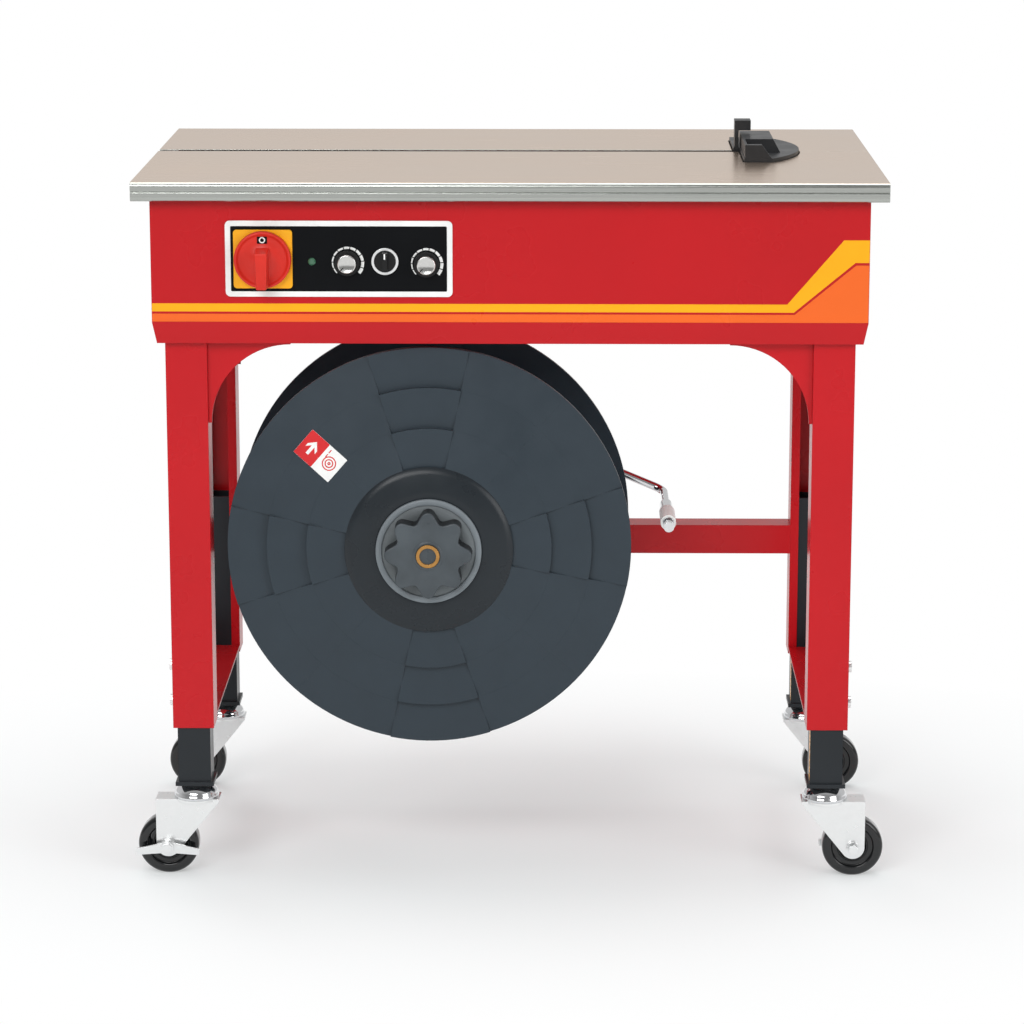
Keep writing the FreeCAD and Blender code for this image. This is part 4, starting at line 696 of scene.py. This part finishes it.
grip = hub_grip("hub_grip", ((-285.2, 0.3), (-286.2, 0.6), (-286.8, 1.2), (-287, 1.9)), GRIP,
                ((0.8, -287.2), (0.55, -287.4), (0.36, -287.4)))
# The star's side walls carry the painted shade
grip_side_shaded = hub_grip("hub_grip_side_painted_shade", ((-259, 0), (-285.2, 0.3)), GRIP_SIDE_SHADE)
grip_boss = spun("hub_boss", REEL_CENTRE, [
    (-287.2, 18.5), (-288.2, 17.6), (-288.5, 16.4), (-288.3, 14.6), (-287, 14.1)],
    "reel", GRIP, 64)
for detail in (nut_ring, nut_floor, grip, grip_side_shaded, grip_boss):
    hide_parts("hub_nut")

# Height scales on the inner legs, one mark each 5 mm

LEG_X = 388.5
LEG_HALF = 20
LEG_Y = {"front": -216.5, "rear": 150.5}
SCALE_LOW, SCALE_HIGH = 124, 390


def places(corner):
    """The side, -1 or 1, and the depth of a corner's leg."""
    end, side = corner.split("_")
    return (-1 if side == "left" else 1), LEG_Y[end]


def height_scale(corner):
    hand, depth_plane = places(corner)
    face = hand * LEG_X - LEG_HALF

    def on_leg(u, v, h):
        return Vector((face - h, u, v)) * MM

    middle = depth_plane - 10
    body = "inner_leg_" + corner
    print_on("scale_" + corner, [[(middle - 7, SCALE_LOW), (middle + 7, SCALE_LOW),
                                  (middle + 7, SCALE_HIGH), (middle - 7, SCALE_HIGH)]],
             on_leg, body, STRIPE_YELLOW, 0.15)
    marks = []
    left = middle - 6.5
    for z in range(SCALE_LOW + 3, SCALE_HIGH - 3, 5):
        right = left + (7 if z % 2 == 0 else 3)
        marks.append([(left, z), (right, z), (right, z + 1.3), (left, z + 1.3)])
    print_on("scale_marks_" + corner, marks, above(on_leg, 0.15), body, PANEL,
             0.08)


for corner in CORNERS:
    height_scale(corner)


# Screws that hold the panels

SCREW_STEPS = 20


def screw_heads(name, spots, put):
    """Low domed heads with a cross recess, at (u, v) spots."""
    bm = bmesh.new()
    for u, v in spots:
        rows = []
        for radius, height in ((4.2, 0), (4.2, 0.5), (3.6, 1.3), (2.4, 1.8)):
            rows.append([bm.verts.new(put(x, y, height)) for x, y in
                         arc(u, v, radius, 0, 360, SCREW_STEPS)[:-1]])
        join_rows(bm, rows)
        cross = []
        for x, y in arc(u, v, 1, 20, 380, 4)[:-1]:
            for turn in (-22, 22):
                dx, dy = x - u, y - v
                c, s = math.cos(math.radians(turn)), math.sin(math.radians(turn))
                cross.append((u + 1.7 * (dx * c - dy * s), v + 1.7 * (dx * s + dy * c)))
            mid = math.atan2(y - v, x - u) + math.radians(45)
            cross.append((u + 0.5 * math.cos(mid), v + 0.5 * math.sin(mid)))
        lip = [bm.verts.new(put(x, y, 1.8)) for x, y in cross]
        well = [bm.verts.new(put(x, y, 0.9)) for x, y in cross]
        count = len(cross)
        for i in range(count):
            j = (i + 1) % count
            bm.faces.new((lip[j], lip[i], well[i], well[j]))
        bm.faces.new(well)
    return piece(name, bm, "chassis", ZINC)


def on_back(y):
    return lambda u, v, h: Vector((u, y + h, v)) * MM


def on_side(x, hand):
    return lambda u, v, h: Vector((x + hand * h, u, v)) * MM


REAR_WALL, SIDE_WALL = 271, 427
screw_heads("rear_screws", [(x, z) for x in (-405, -135, 135, 405) for z in (712, 850)],
            on_back(REAR_WALL))
for hand, side in ((-1, "left"), (1, "right")):
    screw_heads("side_screws_" + side, [(y, z) for y in (-225, 10, 245) for z in (712, 850)
                                        if not (hand == -1 and y == 10 and z == 850)],
                on_side(hand * SIDE_WALL, hand))


# Castors: ridged glossy wheels, chrome swivel heads, hexagon bolt ends

def spun_up(name, centre, profile, body, material, steps=64):
    """A profile of (z, radius) in mm turned about an upright axis through centre (x, y)."""
    bm = bmesh.new()
    rows = [[bm.verts.new(Vector((x, y, z)) * MM) for x, y in
             arc(*centre, radius, 0, 360, steps)[:-1]] for z, radius in profile]
    join_rows(bm, rows)
    return piece(name, bm, body, material, smooth=True)


WHEEL_X = 423.5
WHEEL_RADIUS = 37.5
WHEEL_SIDE = [(12.5, 5.05), (12.5, 11.4), (12, 12), (9.2, 12.4), (8.7, 13), (8.7, 16), (9.1, 16.6),
              (10.3, 17), (10.6, 17.8), (10.3, 18.6), (9.2, 19), (8.8, 19.8), (8.8, 24.4),
              (9.2, 25.2), (11.4, 25.9), (12.2, 26.6), (12.4, 27.6), (12.5, 32), (12.2, 34.2),
              (11, 36.2), (9, 37.3), (6, 37.5)]


def wheel(corner, x, y):
    profile = [(y - a, r) for a, r in WHEEL_SIDE] + [(y + a, r) for a, r in reversed(WHEEL_SIDE)]
    profile.append(profile[0])
    made = spun("wheel_" + corner, (x, WHEEL_RADIUS), profile, "wheel_" + corner, WHEEL,
                72)
    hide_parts("castor_wheel_" + corner)


HEAD = [(96.75, 26.6), (97.5, 27.5), (99.2, 27.9), (101, 27.7), (102.4, 26.8), (103.4, 26.4),
        (104.4, 26.3), (106, 25.6), (108.4, 23.8), (110.4, 21.6), (111.8, 20), (112.6, 18.7)]
for corner in CORNERS:
    hand, middle = places(corner)
    wheel(corner, hand * WHEEL_X, middle)
    spun_up("castor_head_" + corner, (hand * LEG_X, middle), HEAD, "castor_" + corner, CHROME)
    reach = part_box("castor_fork_" + corner)[0].y / MM
    bm = bmesh.new()
    hexagon = arc(hand * WHEEL_X, WHEEL_RADIUS, 6.6, 15, 375, 6)[:-1]
    sheet_of(bm, [hexagon], on_front(reach), 1.6)
    soften(piece("axle_hexagon_" + corner, bm, "castor_" + corner, ZINC), 0.3, 2)
